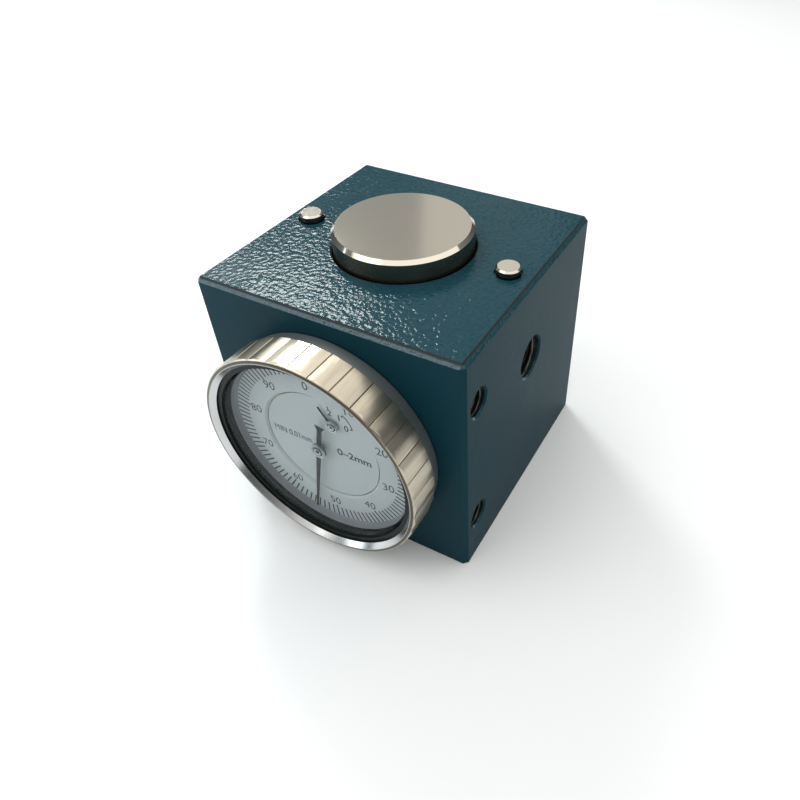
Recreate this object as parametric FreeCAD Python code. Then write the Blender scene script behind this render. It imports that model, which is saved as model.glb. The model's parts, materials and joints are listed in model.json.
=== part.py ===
import FreeCAD, Part
import math
import os

Vector = FreeCAD.Vector
FULL_TURN = 360.0
HALF_TURN = 180.0

# The tool setter stands on its base plane Z = 0. The anvil moves along Z at X = Y = 0.
# The dial looks along -Y; its own axis is parallel to Y at the height DIAL_HEIGHT.

# Block
BLOCK_WIDTH = 51.0
BLOCK_DEPTH = 50.6
BLOCK_EDGE_CHAMFER = 0.8
BASE_CHAMFER = 0.2

# Setting height: the anvil is level with the datum pins when the dial reads zero
DATUM_HEIGHT = 50.0
PIN_RISE = 1.35
FREE_READING = 2.54
STROKE = 3.0
STOP_GAP = 0.14

# How far a cutting shape runs past the surface that it cuts
OVERCUT = 1.0

# Fits, each a distance between two surfaces
RUNNING_FIT = 0.02
PIVOT_FIT = 0.03
PRESS_GAP = 0.01
THREAD_GAP = 0.05
END_PLAY = 0.1

# Anvil and its stem
ANVIL_DIAMETER = 25.2
ANVIL_CHAMFER = 0.65
ANVIL_HEIGHT = 8.0
ANVIL_LOWER_CHAMFER = 0.4
WELL_CLEARANCE = 0.3
WELL_CHAMFER = 0.25
STEM_DIAMETER = 12.0
STEM_FLAT_DISTANCE = 5.0
STEM_FLAT_MARGIN = 1.0
STEM_FOOT_GAP = 1.0
KEYWAY_DEPTH = 2.0
SPRING_BORE_DIAMETER = 8.0
SPRING_BORE_TOP = 24.0

# Guide bushes
GUIDE_BORE_DIAMETER = 18.0
BUSH_FLANGE_DIAMETER = 22.0
BUSH_FLANGE_THICKNESS = 1.5
BRACKET_HEADROOM = 0.3
LOWER_BUSH_LENGTH = 8.0
LOWER_BUSH_LIFT = 2.0

# Spring and the plug under it
PLUG_DIAMETER = 20.0
PLUG_THICKNESS = 4.6
PLUG_RECESS = 0.4
PLUG_BOSS_DIAMETER = 5.2
PLUG_BOSS_HEIGHT = 1.5
PLUG_SLOT_WIDTH = 2.0
PLUG_SLOT_DEPTH = 1.5
SPRING_WIRE_DIAMETER = 0.8
SPRING_COIL_DIAMETER = 6.7
SPRING_ACTIVE_TURNS = 6
SPRING_END_PITCH = 0.85
SPRING_WIRE_SIDES = 8
SPRING_STEPS = 16

# Datum pins
PIN_DIAMETER = 4.4
PIN_SCREW_GAP = 1.7
PIN_EDGE_DISTANCE = 5.1
PIN_CHAMFER = 0.3
PIN_RELIEF_CLEARANCE = 0.3
PIN_RELIEF_DEPTH = 0.4
PIN_HOLE_SPARE = 0.4

# Screws in the right-hand side
GUIDE_SCREW_DIAMETER = 8.0
GUIDE_SCREW_BUSH_GAP = 1.43
GUIDE_SCREW_RECESS = 1.8
GUIDE_SCREW_SOCKET = 4.0
GUIDE_SCREW_SOCKET_DEPTH = 4.0
DOG_DIAMETER = 4.0
DOG_FLOOR_GAP = 0.2
CASE_SCREW_DIAMETER = 5.0
CASE_SCREW_RECESS = 2.9
CASE_SCREW_SOCKET = 2.5
CASE_SCREW_SOCKET_DEPTH = 2.8
CASE_SCREW_TIP_DIAMETER = 3.0
CASE_SCREW_SPREAD = 27.6
CASE_SCREW_DROP = 0.25
CASE_SCREW_SETBACK = 4.7
SIDE_HOLE_CHAMFER = 0.35
SCREW_CHAMFER = 0.5

# Dial case
DIAL_HEIGHT = 24.5
CASE_RADIUS = 19.0
CASE_WALL = 1.5
CASE_DEPTH = 10.7
CASE_BACK_WALL = 1.2
CASE_LEDGE_WIDTH = 2.7
CASE_EDGE_CHAMFER = 0.4
FLANGE_RADIUS = 20.4
FLANGE_LENGTH = 2.6
FLANGE_CHAMFER = 0.25
NECK_RADIUS = 19.35
NECK_LENGTH = 1.75
NECK_GROOVE_DEPTH = 0.3
NECK_GROOVE_WIDTH = 0.76

# Bezel, crystal and gasket
BEZEL_RADIUS = 21.3
BEZEL_END_GAP = 0.1
BEZEL_BORE_FIT = 0.05
BEZEL_REAR_CHAMFER = 0.2
BEZEL_SHOULDER_RADIUS = 0.75
BEZEL_LIP_WIDTH = 0.2
BEZEL_LEDGE_HEIGHT = 1.27
BEZEL_SIGHT_RADIUS = 17.9
BEZEL_SIGHT_TAPER = 0.4
BEZEL_CONE_DEPTH = 0.9
RIM_HEIGHT = 0.3
RIM_RADIUS = 19.6
FLUTE_COUNT = 34
FLUTE_FIRST_ANGLE = 0.83
FLUTE_FALL = 0.2
GROOVE_HALF_ANGLE = 0.35
GROOVE_DEPTH = 0.38
GASKET_WALL = 0.88
GASKET_FOOT_THICKNESS = 0.3
GASKET_LIP_HEIGHT = 0.3
CRYSTAL_THICKNESS = 1.2
CRYSTAL_BEVEL = 0.45
RING_SECTION = 0.5
RING_OPENING_ANGLE = 24.0
RING_SIDE_GAP = 0.03

# Scale ring and inner dial
SCALE_RING_RADIUS = 18.8
SCALE_RING_THICKNESS = 0.4
SCALE_RING_END_GAP = 0.08
SCALE_RING_BORE_RADIUS = 11.65
SCALE_RING_BEVEL = 0.35
DIAL_STEP = 0.38
INNER_DIAL_RADIUS = 11.5
INNER_DIAL_THICKNESS = 0.35
DIAL_FOOT_DIAMETER = 0.8
DIAL_FOOT_LENGTH = 0.7
DIAL_FOOT_RADIUS = 8.0

# Movement
GEAR_ROOM = 5.3
PLATE_THICKNESS = 1.2
BRIDGE_THICKNESS = 1.0
BRIDGE_RADIUS = 11.6
BRIDGE_EAR_RADIUS = 2.2
PILLAR_DIAMETER = 3.0
PILLAR_SPIGOT_DIAMETER = 2.0
PILLAR_RADIUS = 13.0
PILLAR_ANGLES = (80.0, 154.0, 297.0)
PLATE_SCREW_RADIUS = 15.95
PLATE_SCREW_ANGLES = (20.0, 140.0, 260.0)
SMALL_SCREW_DIAMETER = 1.6
SMALL_HEAD_DIAMETER = 2.7
SMALL_HEAD_HEIGHT = 0.9
SUNK_HEAD_HEIGHT = 0.65
SMALL_SCREW_LENGTH = 3.0
SMALL_SCREW_SLOT = 0.35

# Gear train: rack, sixteen-leaf pinion, eighty-tooth wheel, ten-leaf centre pinion
RACK_PITCH = 0.5
RACK_PINION_TEETH = 16
WHEEL_TEETH = 80
CENTRE_PINION_TEETH = 10
PRESSURE_ANGLE = 20.0
TOOTH_FILL = 0.84
ARBOR_SPACING = 7.5
ARBOR_DIRECTION = 27.0
RACK_SETBACK = 2.0
RACK_WIDTH = 1.8
RACK_BACKING = 1.6
RACK_SPARE_LENGTH = 1.0
WHEEL_STEP = 0.35
WHEEL_THICKNESS = 0.5
WHEEL_HOLE_RADIUS = 1.5
WHEEL_HOLE_CENTRE = 3.9
WHEEL_HOLES = 4
PINION_OVERHANG = 0.25
COLLAR_RADIUS = 1.0
SHAFT_RADIUS = 0.6
JOURNAL_RADIUS = 0.4
PIVOT_RADIUS = 0.3

# Hairspring
HAIRSPRING_OUTER_RADIUS = 4.0
HAIRSPRING_TURNS = 4
HAIRSPRING_THICKNESS = 0.14
HAIRSPRING_HEIGHT = 0.6
HAIRSPRING_SETBACK = 0.9
STUD_RADIUS = 0.45
HAIRSPRING_INNER_RADIUS = COLLAR_RADIUS + HAIRSPRING_THICKNESS / 2

# Bracket that carries the rack
BRACKET_THICKNESS = 2.5
BRACKET_HALF_WIDTH = 3.3
BRACKET_LENGTH = 8.0
BRACKET_ARM_HEIGHT = 4.6
BRACKET_SCREW_DIAMETER = 2.5
BRACKET_HEAD_DIAMETER = 3.8
BRACKET_HEAD_HEIGHT = 1.5
BRACKET_SCREW_LENGTH = 6.0
BRACKET_SCREW_PITCH = 4.2
BRACKET_SCREW_SLOT = 0.6
WINDOW_CLEARANCE = 0.5

# Hands
SCALE_ZERO_ANGLE = -3.2
SUB_ZERO_ANGLE = 80.0
HAND_THICKNESS = 0.14
MAIN_HAND_LENGTH = 16.9
MAIN_HAND_ROOT_WIDTH = 0.95
MAIN_HAND_TIP_WIDTH = 0.35
MAIN_TAIL_LENGTH = 6.3
MAIN_TAIL_WIDTH = 0.85
MAIN_TAIL_END_WIDTH = 1.9
MAIN_TAIL_FLARE = 0.9
MAIN_HUB_RADIUS = 1.5
MAIN_HUB_HEIGHT = 0.4
MAIN_HAND_LIFT = 1.05
SMALL_HAND_LENGTH = 4.15
SMALL_HAND_ROOT_WIDTH = 0.6
SMALL_HAND_TIP_WIDTH = 0.3
SMALL_HUB_RADIUS = 1.25
SMALL_HUB_HEIGHT = 0.3
SMALL_HAND_LIFT = 0.35
HAND_SOCKET_RADIUS = 0.7

# Heights that follow along the anvil's axis
BLOCK_HEIGHT = DATUM_HEIGHT - PIN_RISE
ANVIL_TOP = DATUM_HEIGHT + FREE_READING
ANVIL_BOTTOM = ANVIL_TOP - ANVIL_HEIGHT
BUSH_TOP = ANVIL_BOTTOM - STROKE - STOP_GAP
WELL_FLOOR = BUSH_TOP - BUSH_FLANGE_THICKNESS
WELL_RADIUS = ANVIL_DIAMETER / 2 + WELL_CLEARANCE
PIN_OFFSET = BLOCK_WIDTH / 2 - PIN_EDGE_DISTANCE
PLUG_TOP = PLUG_RECESS + PLUG_THICKNESS
STEM_FOOT = PLUG_TOP + STROKE + STEM_FOOT_GAP
LOWER_BUSH_BOTTOM = PLUG_TOP + LOWER_BUSH_LIFT
STEM_RADIUS = STEM_DIAMETER / 2
GUIDE_BORE_RADIUS = GUIDE_BORE_DIAMETER / 2

# Gear sizes that follow
WHEEL_MODULE = 2 * ARBOR_SPACING / (WHEEL_TEETH + CENTRE_PINION_TEETH)
RACK_MODULE = RACK_PITCH / math.pi
RACK_PINION_RADIUS = RACK_MODULE * RACK_PINION_TEETH / 2
SMALL_HAND_TURN = FULL_TURN / (RACK_PITCH * RACK_PINION_TEETH)
MAIN_HAND_TURN = SMALL_HAND_TURN * WHEEL_TEETH / CENTRE_PINION_TEETH

# Layers that follow along the dial axis, each a distance ahead of the block's front face
BEZEL_BACK = FLANGE_LENGTH + BEZEL_END_GAP
NECK_FRONT = BEZEL_BACK + NECK_LENGTH
RING_LAYER = BEZEL_BACK + NECK_LENGTH / 2
SCALE_BACK = NECK_FRONT + SCALE_RING_END_GAP
SCALE_FRONT = SCALE_BACK + SCALE_RING_THICKNESS
LEDGE_FRONT = SCALE_FRONT + BEZEL_LEDGE_HEIGHT
CRYSTAL_BACK = LEDGE_FRONT + GASKET_FOOT_THICKNESS
CRYSTAL_FRONT = CRYSTAL_BACK + CRYSTAL_THICKNESS
GASKET_FRONT = CRYSTAL_FRONT + GASKET_LIP_HEIGHT
RIM_LAYER = GASKET_FRONT + RIM_HEIGHT
BEZEL_FRONT = RIM_LAYER + BEZEL_CONE_DEPTH
INNER_DIAL_FRONT = SCALE_FRONT - DIAL_STEP
BRIDGE_FRONT = INNER_DIAL_FRONT - INNER_DIAL_THICKNESS
BRIDGE_BACK = BRIDGE_FRONT - BRIDGE_THICKNESS
PLATE_FRONT = BRIDGE_BACK - GEAR_ROOM
PLATE_BACK = PLATE_FRONT - PLATE_THICKNESS
RACK_BACK = PLATE_FRONT + RACK_SETBACK
RACK_FRONT = RACK_BACK + RACK_WIDTH
WHEEL_BACK = RACK_FRONT + WHEEL_STEP
WHEEL_FRONT = WHEEL_BACK + WHEEL_THICKNESS
CASE_INNER_RADIUS = CASE_RADIUS - CASE_WALL
LEDGE_RADIUS = CASE_INNER_RADIUS - CASE_LEDGE_WIDTH
CRYSTAL_RADIUS = RIM_RADIUS - GASKET_WALL
NECK_BORE_RADIUS = NECK_RADIUS + BEZEL_BORE_FIT


# Positions and simple bodies
def ahead(distance):
    return -BLOCK_DEPTH / 2 - distance


def dial_point(radius, angle, centre=(0.0, DIAL_HEIGHT)):
    turn = math.radians(angle)
    return (centre[0] + radius * math.sin(turn), centre[1] + radius * math.cos(turn))


CENTRE_ARBOR = (0.0, DIAL_HEIGHT)
RACK_ARBOR = dial_point(ARBOR_SPACING, ARBOR_DIRECTION)
HAIR_ARBOR = dial_point(ARBOR_SPACING, ARBOR_DIRECTION + HALF_TURN)
RACK_PITCH_LINE = RACK_ARBOR[0] + RACK_PINION_RADIUS
RACK_TEETH_SPARE = round(RACK_SPARE_LENGTH / RACK_PITCH)
RACK_TEETH_ABOVE = round(STROKE / RACK_PITCH) + RACK_TEETH_SPARE
RACK_TOP = RACK_ARBOR[1] + (RACK_TEETH_ABOVE + 0.5) * RACK_PITCH
RACK_BOTTOM = RACK_ARBOR[1] - (RACK_TEETH_SPARE + 0.5) * RACK_PITCH
ARM_LEFT = RACK_PITCH_LINE + 1.25 * RACK_MODULE
ARM_RIGHT = ARM_LEFT + RACK_BACKING
ARM_BOTTOM = RACK_TOP - BRACKET_ARM_HEIGHT
BRACKET_BOTTOM = RACK_TOP - BRACKET_LENGTH
BRACKET_MIDDLE = RACK_TOP - BRACKET_LENGTH / 2
BRACKET_FACE = -STEM_FLAT_DISTANCE - BRACKET_THICKNESS
UPPER_BUSH_BOTTOM = RACK_TOP + BRACKET_HEADROOM
GUIDE_SCREW_HEIGHT = UPPER_BUSH_BOTTOM - GUIDE_SCREW_BUSH_GAP - DOG_DIAMETER / 2
PIN_FOOT = GUIDE_SCREW_HEIGHT + GUIDE_SCREW_DIAMETER / 2 + PIN_SCREW_GAP


def upright_cylinder(radius, bottom, top, x=0.0, y=0.0):
    return Part.makeCylinder(radius, top - bottom, Vector(x, y, bottom))


def side_cylinder(radius, inner, outer, y, z):
    return Part.makeCylinder(radius, outer - inner, Vector(inner, y, z), Vector(1, 0, 0))


def dial_cylinder(radius, back, front, centre=CENTRE_ARBOR):
    start = Vector(centre[0], ahead(back), centre[1])
    return Part.makeCylinder(radius, front - back, start, Vector(0, -1, 0))


def box_between(low, high):
    size = [high[axis] - low[axis] for axis in range(3)]
    return Part.makeBox(size[0], size[1], size[2], Vector(*low))


def turned_upright(profile):
    points = [Vector(radius, 0, height) for radius, height in profile]
    face = Part.Face(Part.makePolygon(points + points[:1]))
    return face.revolve(Vector(0, 0, 0), Vector(0, 0, 1), FULL_TURN)


def turned_on_dial(profile, centre=CENTRE_ARBOR):
    points = [Vector(centre[0] + radius, ahead(layer), centre[1]) for radius, layer in profile]
    face = Part.Face(Part.makePolygon(points + points[:1]))
    return face.revolve(Vector(centre[0], 0, centre[1]), Vector(0, 1, 0), FULL_TURN)


def dial_prism(outline, back, front):
    points = [Vector(x, ahead(back), z) for x, z in outline]
    face = Part.Face(Part.makePolygon(points + points[:1]))
    return face.extrude(Vector(0, back - front, 0))


def fused(first, *others):
    return first.fuse(list(others)).removeSplitter()


def cut(first, *others):
    return first.cut(list(others))


def hexagon_prism(across_flats, depth):
    corner = across_flats / math.sqrt(3)
    points = []
    for side in range(6):
        turn = math.radians(60 * side)
        points.append(Vector(corner * math.cos(turn), corner * math.sin(turn), 0))
    face = Part.Face(Part.makePolygon(points + points[:1]))
    return face.extrude(Vector(0, 0, depth))


def placed(shape, point, direction):
    turned = shape.copy()
    turned.Placement = FreeCAD.Placement(point, FreeCAD.Rotation(Vector(0, 0, 1), direction))
    return turned


# Screws, each built along Z with its head or socket end up
def socket_set_screw(radius, length, socket, socket_depth, tip_radius, tip_length):
    shank_foot = tip_length
    profile = [
        (0, 0),
        (tip_radius, 0),
        (tip_radius, shank_foot),
        (radius - SCREW_CHAMFER, shank_foot),
        (radius, shank_foot + SCREW_CHAMFER),
        (radius, length - SCREW_CHAMFER),
        (radius - SCREW_CHAMFER, length),
        (0, length),
    ]
    recess = hexagon_prism(socket, socket_depth)
    recess.translate(Vector(0, 0, length - socket_depth))
    return cut(turned_upright(profile), recess)


def cheese_head_screw(radius, length, head_radius, head_height, slot):
    shank = upright_cylinder(radius, -length, 0)
    head = upright_cylinder(head_radius, 0, head_height)
    low = (-head_radius, -slot / 2, head_height / 2)
    groove = box_between(low, (head_radius, slot / 2, head_height))
    return cut(fused(shank, head), groove)


def sunk_head_screw(radius, length, head_radius, head_height, slot):
    profile = [(0, -length), (radius, -length), (radius, -head_height), (head_radius, 0), (0, 0)]
    groove = box_between((-head_radius, -slot / 2, -head_height / 2), (head_radius, slot / 2, 0))
    return cut(turned_upright(profile), groove)


# Gear outlines
def involute(angle):
    return math.tan(angle) - angle


def tooth_half_angle(radius, teeth, module):
    pressure = math.radians(PRESSURE_ANGLE)
    base_radius = module * teeth / 2 * math.cos(pressure)
    at_pitch = TOOTH_FILL * math.pi / (2 * teeth) + involute(pressure)
    at_radius = math.acos(base_radius / max(radius, base_radius))
    return at_pitch - involute(at_radius)


def gear_outline(teeth, module, centre, first_tooth, flank_steps):
    pitch_radius = module * teeth / 2
    root_radius = pitch_radius - 1.25 * module
    tip_radius = pitch_radius + module
    outline = []
    for tooth in range(teeth):
        middle = first_tooth + FULL_TURN * tooth / teeth
        left = []
        right = []
        for step in range(flank_steps + 1):
            radius = root_radius + (tip_radius - root_radius) * step / flank_steps
            half = math.degrees(tooth_half_angle(radius, teeth, module))
            left.append(dial_point(radius, middle - half, centre))
            right.append(dial_point(radius, middle + half, centre))
        outline += left + right[::-1]
    return outline


def rack_outline():
    slope = math.tan(math.radians(PRESSURE_ANGLE))
    half_at_pitch = TOOTH_FILL * RACK_PITCH / 4
    half_at_tip = half_at_pitch - RACK_MODULE * slope
    half_at_root = half_at_pitch + 1.25 * RACK_MODULE * slope
    tip = RACK_PITCH_LINE - RACK_MODULE
    outline = [(ARM_RIGHT, RACK_BOTTOM), (ARM_LEFT, RACK_BOTTOM)]
    for tooth in range(-RACK_TEETH_SPARE, RACK_TEETH_ABOVE + 1):
        middle = RACK_ARBOR[1] + tooth * RACK_PITCH
        outline.append((ARM_LEFT, middle - half_at_root))
        outline.append((tip, middle - half_at_tip))
        outline.append((tip, middle + half_at_tip))
        outline.append((ARM_LEFT, middle + half_at_root))
    outline += [(ARM_LEFT, RACK_TOP), (ARM_RIGHT, RACK_TOP)]
    return outline


# Block and what stands in it
def guide_screw_passage():
    face = BLOCK_WIDTH / 2
    radius = GUIDE_SCREW_DIAMETER / 2 + THREAD_GAP
    hole = side_cylinder(radius, 0, face + OVERCUT, 0, GUIDE_SCREW_HEIGHT)
    mouth = Part.makeCone(
        radius,
        radius + SIDE_HOLE_CHAMFER + OVERCUT,
        SIDE_HOLE_CHAMFER + OVERCUT,
        Vector(face - SIDE_HOLE_CHAMFER, 0, GUIDE_SCREW_HEIGHT),
        Vector(1, 0, 0),
    )
    return hole.fuse(mouth)


def case_screw_place():
    y = -BLOCK_DEPTH / 2 + CASE_SCREW_SETBACK
    middle = DIAL_HEIGHT - CASE_SCREW_DROP
    heights = [middle + side * CASE_SCREW_SPREAD / 2 for side in (1, -1)]
    return y, heights


def case_screw_passage(y, z):
    face = BLOCK_WIDTH / 2
    radius = CASE_SCREW_DIAMETER / 2 + THREAD_GAP
    hole = side_cylinder(radius, 0, face + OVERCUT, y, z)
    mouth = Part.makeCone(
        radius,
        radius + SIDE_HOLE_CHAMFER + OVERCUT,
        SIDE_HOLE_CHAMFER + OVERCUT,
        Vector(face - SIDE_HOLE_CHAMFER, y, z),
        Vector(1, 0, 0),
    )
    return hole.fuse(mouth)


def pin_hole(x):
    hole_foot = PIN_FOOT - PIN_HOLE_SPARE
    hole = upright_cylinder(PIN_DIAMETER / 2 + PRESS_GAP, hole_foot, BLOCK_HEIGHT + OVERCUT, x)
    relief_floor = BLOCK_HEIGHT - PIN_RELIEF_DEPTH
    relief_radius = PIN_DIAMETER / 2 + PIN_RELIEF_CLEARANCE
    relief = upright_cylinder(relief_radius, relief_floor, BLOCK_HEIGHT + OVERCUT, x)
    return hole.fuse(relief)


def plain_block():
    half_width = BLOCK_WIDTH / 2
    half_depth = BLOCK_DEPTH / 2
    box = box_between((-half_width, -half_depth, 0), (half_width, half_depth, BLOCK_HEIGHT))
    upper = [edge for edge in box.Edges if edge.BoundBox.ZMax > BLOCK_HEIGHT / 2]
    bevelled = box.makeChamfer(BLOCK_EDGE_CHAMFER, upper)
    base = [edge for edge in bevelled.Edges if edge.BoundBox.ZMax < BLOCK_HEIGHT / 2]
    return bevelled.makeChamfer(BASE_CHAMFER, base)


def rack_window():
    low = (
        -BRACKET_HALF_WIDTH - WINDOW_CLEARANCE,
        -BLOCK_DEPTH / 2 + CASE_DEPTH,
        BRACKET_BOTTOM - STROKE - WINDOW_CLEARANCE,
    )
    high = (
        ARM_RIGHT + WINDOW_CLEARANCE,
        WINDOW_CLEARANCE - STEM_FLAT_DISTANCE,
        RACK_TOP + WINDOW_CLEARANCE,
    )
    return box_between(low, high)


def body_block():
    well = upright_cylinder(WELL_RADIUS, WELL_FLOOR, BLOCK_HEIGHT + OVERCUT)
    well_mouth = Part.makeCone(
        WELL_RADIUS,
        WELL_RADIUS + WELL_CHAMFER + OVERCUT,
        WELL_CHAMFER + OVERCUT,
        Vector(0, 0, BLOCK_HEIGHT - WELL_CHAMFER),
    )
    guide_bore = upright_cylinder(GUIDE_BORE_RADIUS, PLUG_TOP, BLOCK_HEIGHT)
    plug_hole = upright_cylinder(PLUG_DIAMETER / 2, -OVERCUT, PLUG_TOP)
    cavity = dial_cylinder(CASE_RADIUS + BEZEL_BORE_FIT, -CASE_DEPTH - BEZEL_END_GAP, OVERCUT)
    screw_y, screw_heights = case_screw_place()
    case_screw_holes = [case_screw_passage(screw_y, z) for z in screw_heights]
    pin_holes = [pin_hole(x) for x in (PIN_OFFSET, -PIN_OFFSET)]
    return cut(
        plain_block(),
        well,
        well_mouth,
        guide_bore,
        plug_hole,
        cavity,
        rack_window(),
        guide_screw_passage(),
        *case_screw_holes,
        *pin_holes,
    )


def anvil():
    radius = ANVIL_DIAMETER / 2
    profile = [
        (0, ANVIL_TOP),
        (radius - ANVIL_CHAMFER, ANVIL_TOP),
        (radius, ANVIL_TOP - ANVIL_CHAMFER),
        (radius, ANVIL_BOTTOM + ANVIL_LOWER_CHAMFER),
        (radius - ANVIL_LOWER_CHAMFER, ANVIL_BOTTOM),
        (STEM_RADIUS, ANVIL_BOTTOM),
        (STEM_RADIUS, STEM_FOOT),
        (SPRING_BORE_DIAMETER / 2, STEM_FOOT),
        (SPRING_BORE_DIAMETER / 2, SPRING_BORE_TOP),
        (0, SPRING_BORE_TOP),
    ]
    flat = box_between(
        (-STEM_RADIUS, -STEM_RADIUS - OVERCUT, BRACKET_BOTTOM - STEM_FLAT_MARGIN),
        (STEM_RADIUS, -STEM_FLAT_DISTANCE, RACK_TOP + STEM_FLAT_MARGIN),
    )
    keyway_radius = DOG_DIAMETER / 2 + RUNNING_FIT
    keyway_floor = STEM_RADIUS - KEYWAY_DEPTH
    keyway_mouth = STEM_RADIUS + OVERCUT
    keyway_top = GUIDE_SCREW_HEIGHT + STROKE
    lower_end = side_cylinder(keyway_radius, keyway_floor, keyway_mouth, 0, GUIDE_SCREW_HEIGHT)
    upper_end = side_cylinder(keyway_radius, keyway_floor, keyway_mouth, 0, keyway_top)
    between = box_between(
        (keyway_floor, -keyway_radius, GUIDE_SCREW_HEIGHT),
        (keyway_mouth, keyway_radius, keyway_top),
    )
    tapped = []
    for height in bracket_screw_heights():
        start = Vector(0, BRACKET_FACE, height)
        depth = BRACKET_SCREW_LENGTH + SCREW_CHAMFER
        radius = BRACKET_SCREW_DIAMETER / 2 + THREAD_GAP
        tapped.append(Part.makeCylinder(radius, depth, start, Vector(0, 1, 0)))
    return cut(turned_upright(profile), flat, lower_end, upper_end, between, *tapped)


def upper_guide_bush():
    bore = STEM_RADIUS + RUNNING_FIT
    outer = GUIDE_BORE_RADIUS - PRESS_GAP
    profile = [
        (bore, UPPER_BUSH_BOTTOM),
        (outer, UPPER_BUSH_BOTTOM),
        (outer, WELL_FLOOR),
        (BUSH_FLANGE_DIAMETER / 2, WELL_FLOOR),
        (BUSH_FLANGE_DIAMETER / 2, BUSH_TOP),
        (bore, BUSH_TOP),
    ]
    return turned_upright(profile)


def lower_guide_bush():
    bore = STEM_RADIUS + RUNNING_FIT
    outer = GUIDE_BORE_RADIUS - PRESS_GAP
    top = LOWER_BUSH_BOTTOM + LOWER_BUSH_LENGTH
    profile = [(bore, LOWER_BUSH_BOTTOM), (outer, LOWER_BUSH_BOTTOM), (outer, top), (bore, top)]
    return turned_upright(profile)


def spring_plug():
    disc = upright_cylinder(PLUG_DIAMETER / 2 - THREAD_GAP, PLUG_RECESS, PLUG_TOP)
    boss = upright_cylinder(PLUG_BOSS_DIAMETER / 2, PLUG_TOP, PLUG_TOP + PLUG_BOSS_HEIGHT)
    reach = PLUG_DIAMETER / 2
    slot = box_between(
        (-reach, -PLUG_SLOT_WIDTH / 2, 0),
        (reach, PLUG_SLOT_WIDTH / 2, PLUG_RECESS + PLUG_SLOT_DEPTH),
    )
    return cut(fused(disc, boss), slot)


def spring_section(turn, height):
    angle = 2 * math.pi * turn
    ring = []
    for corner in range(SPRING_WIRE_SIDES):
        around = 2 * math.pi * corner / SPRING_WIRE_SIDES
        radius = SPRING_COIL_DIAMETER / 2 + SPRING_WIRE_DIAMETER / 2 * math.cos(around)
        rise = SPRING_WIRE_DIAMETER / 2 * math.sin(around)
        ring.append(Vector(radius * math.cos(angle), radius * math.sin(angle), height + rise))
    return Part.makePolygon(ring + ring[:1])


def return_spring():
    bottom = PLUG_TOP + SPRING_WIRE_DIAMETER / 2
    top = SPRING_BORE_TOP - SPRING_WIRE_DIAMETER / 2
    active_pitch = (top - bottom - 2 * SPRING_END_PITCH) / SPRING_ACTIVE_TURNS
    sections = []
    for step in range((SPRING_ACTIVE_TURNS + 2) * SPRING_STEPS + 1):
        turn = step / SPRING_STEPS
        active_turn = min(max(turn - 1, 0), SPRING_ACTIVE_TURNS)
        end_turn = turn - active_turn
        height = bottom + end_turn * SPRING_END_PITCH + active_turn * active_pitch
        sections.append(spring_section(turn, height))
    return Part.makeLoft(sections, True, True)


def datum_pin(x):
    radius = PIN_DIAMETER / 2
    profile = [
        (0, PIN_FOOT),
        (radius - PIN_CHAMFER, PIN_FOOT),
        (radius, PIN_FOOT + PIN_CHAMFER),
        (radius, DATUM_HEIGHT - PIN_CHAMFER),
        (radius - PIN_CHAMFER, DATUM_HEIGHT),
        (0, DATUM_HEIGHT),
    ]
    pin = turned_upright(profile)
    pin.translate(Vector(x, 0, 0))
    return pin


def guide_screw():
    outer = BLOCK_WIDTH / 2 - GUIDE_SCREW_RECESS
    tip = STEM_RADIUS - KEYWAY_DEPTH + DOG_FLOOR_GAP
    dog_length = BUSH_FLANGE_DIAMETER / 2 + DOG_FLOOR_GAP - tip
    screw = socket_set_screw(
        GUIDE_SCREW_DIAMETER / 2,
        outer - tip,
        GUIDE_SCREW_SOCKET,
        GUIDE_SCREW_SOCKET_DEPTH,
        DOG_DIAMETER / 2,
        dog_length,
    )
    return placed(screw, Vector(tip, 0, GUIDE_SCREW_HEIGHT), Vector(1, 0, 0))


def case_set_screws():
    outer = BLOCK_WIDTH / 2 - CASE_SCREW_RECESS
    tip_radius = CASE_SCREW_TIP_DIAMETER / 2
    y, heights = case_screw_place()
    screws = []
    for height in heights:
        nearest = abs(height - DIAL_HEIGHT) - tip_radius
        tip = math.sqrt(CASE_RADIUS ** 2 - nearest ** 2) + RUNNING_FIT
        screw = socket_set_screw(
            CASE_SCREW_DIAMETER / 2,
            outer - tip,
            CASE_SCREW_SOCKET,
            CASE_SCREW_SOCKET_DEPTH,
            tip_radius,
            SCREW_CHAMFER,
        )
        screws.append(placed(screw, Vector(tip, y, height), Vector(1, 0, 0)))
    return Part.makeCompound(screws)


# Bracket and rack carried by the stem
def bracket_screw_heights():
    return [BRACKET_MIDDLE + side * BRACKET_SCREW_PITCH / 2 for side in (1, -1)]


def rack():
    plate = box_between(
        (-BRACKET_HALF_WIDTH, BRACKET_FACE, BRACKET_BOTTOM),
        (ARM_RIGHT, -STEM_FLAT_DISTANCE, RACK_TOP),
    )
    arm = box_between((ARM_LEFT, ahead(RACK_BACK), ARM_BOTTOM), (ARM_RIGHT, BRACKET_FACE, RACK_TOP))
    teeth = dial_prism(rack_outline(), RACK_BACK, RACK_FRONT)
    holes = []
    for height in bracket_screw_heights():
        start = Vector(0, BRACKET_FACE, height)
        radius = BRACKET_SCREW_DIAMETER / 2 + THREAD_GAP
        holes.append(Part.makeCylinder(radius, BRACKET_THICKNESS, start, Vector(0, 1, 0)))
    return cut(fused(plate, arm, teeth), *holes)


def bracket_screws():
    screw = cheese_head_screw(
        BRACKET_SCREW_DIAMETER / 2,
        BRACKET_SCREW_LENGTH,
        BRACKET_HEAD_DIAMETER / 2,
        BRACKET_HEAD_HEIGHT,
        BRACKET_SCREW_SLOT,
    )
    places = [Vector(0, BRACKET_FACE, height) for height in bracket_screw_heights()]
    return Part.makeCompound([placed(screw, place, Vector(0, -1, 0)) for place in places])


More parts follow.
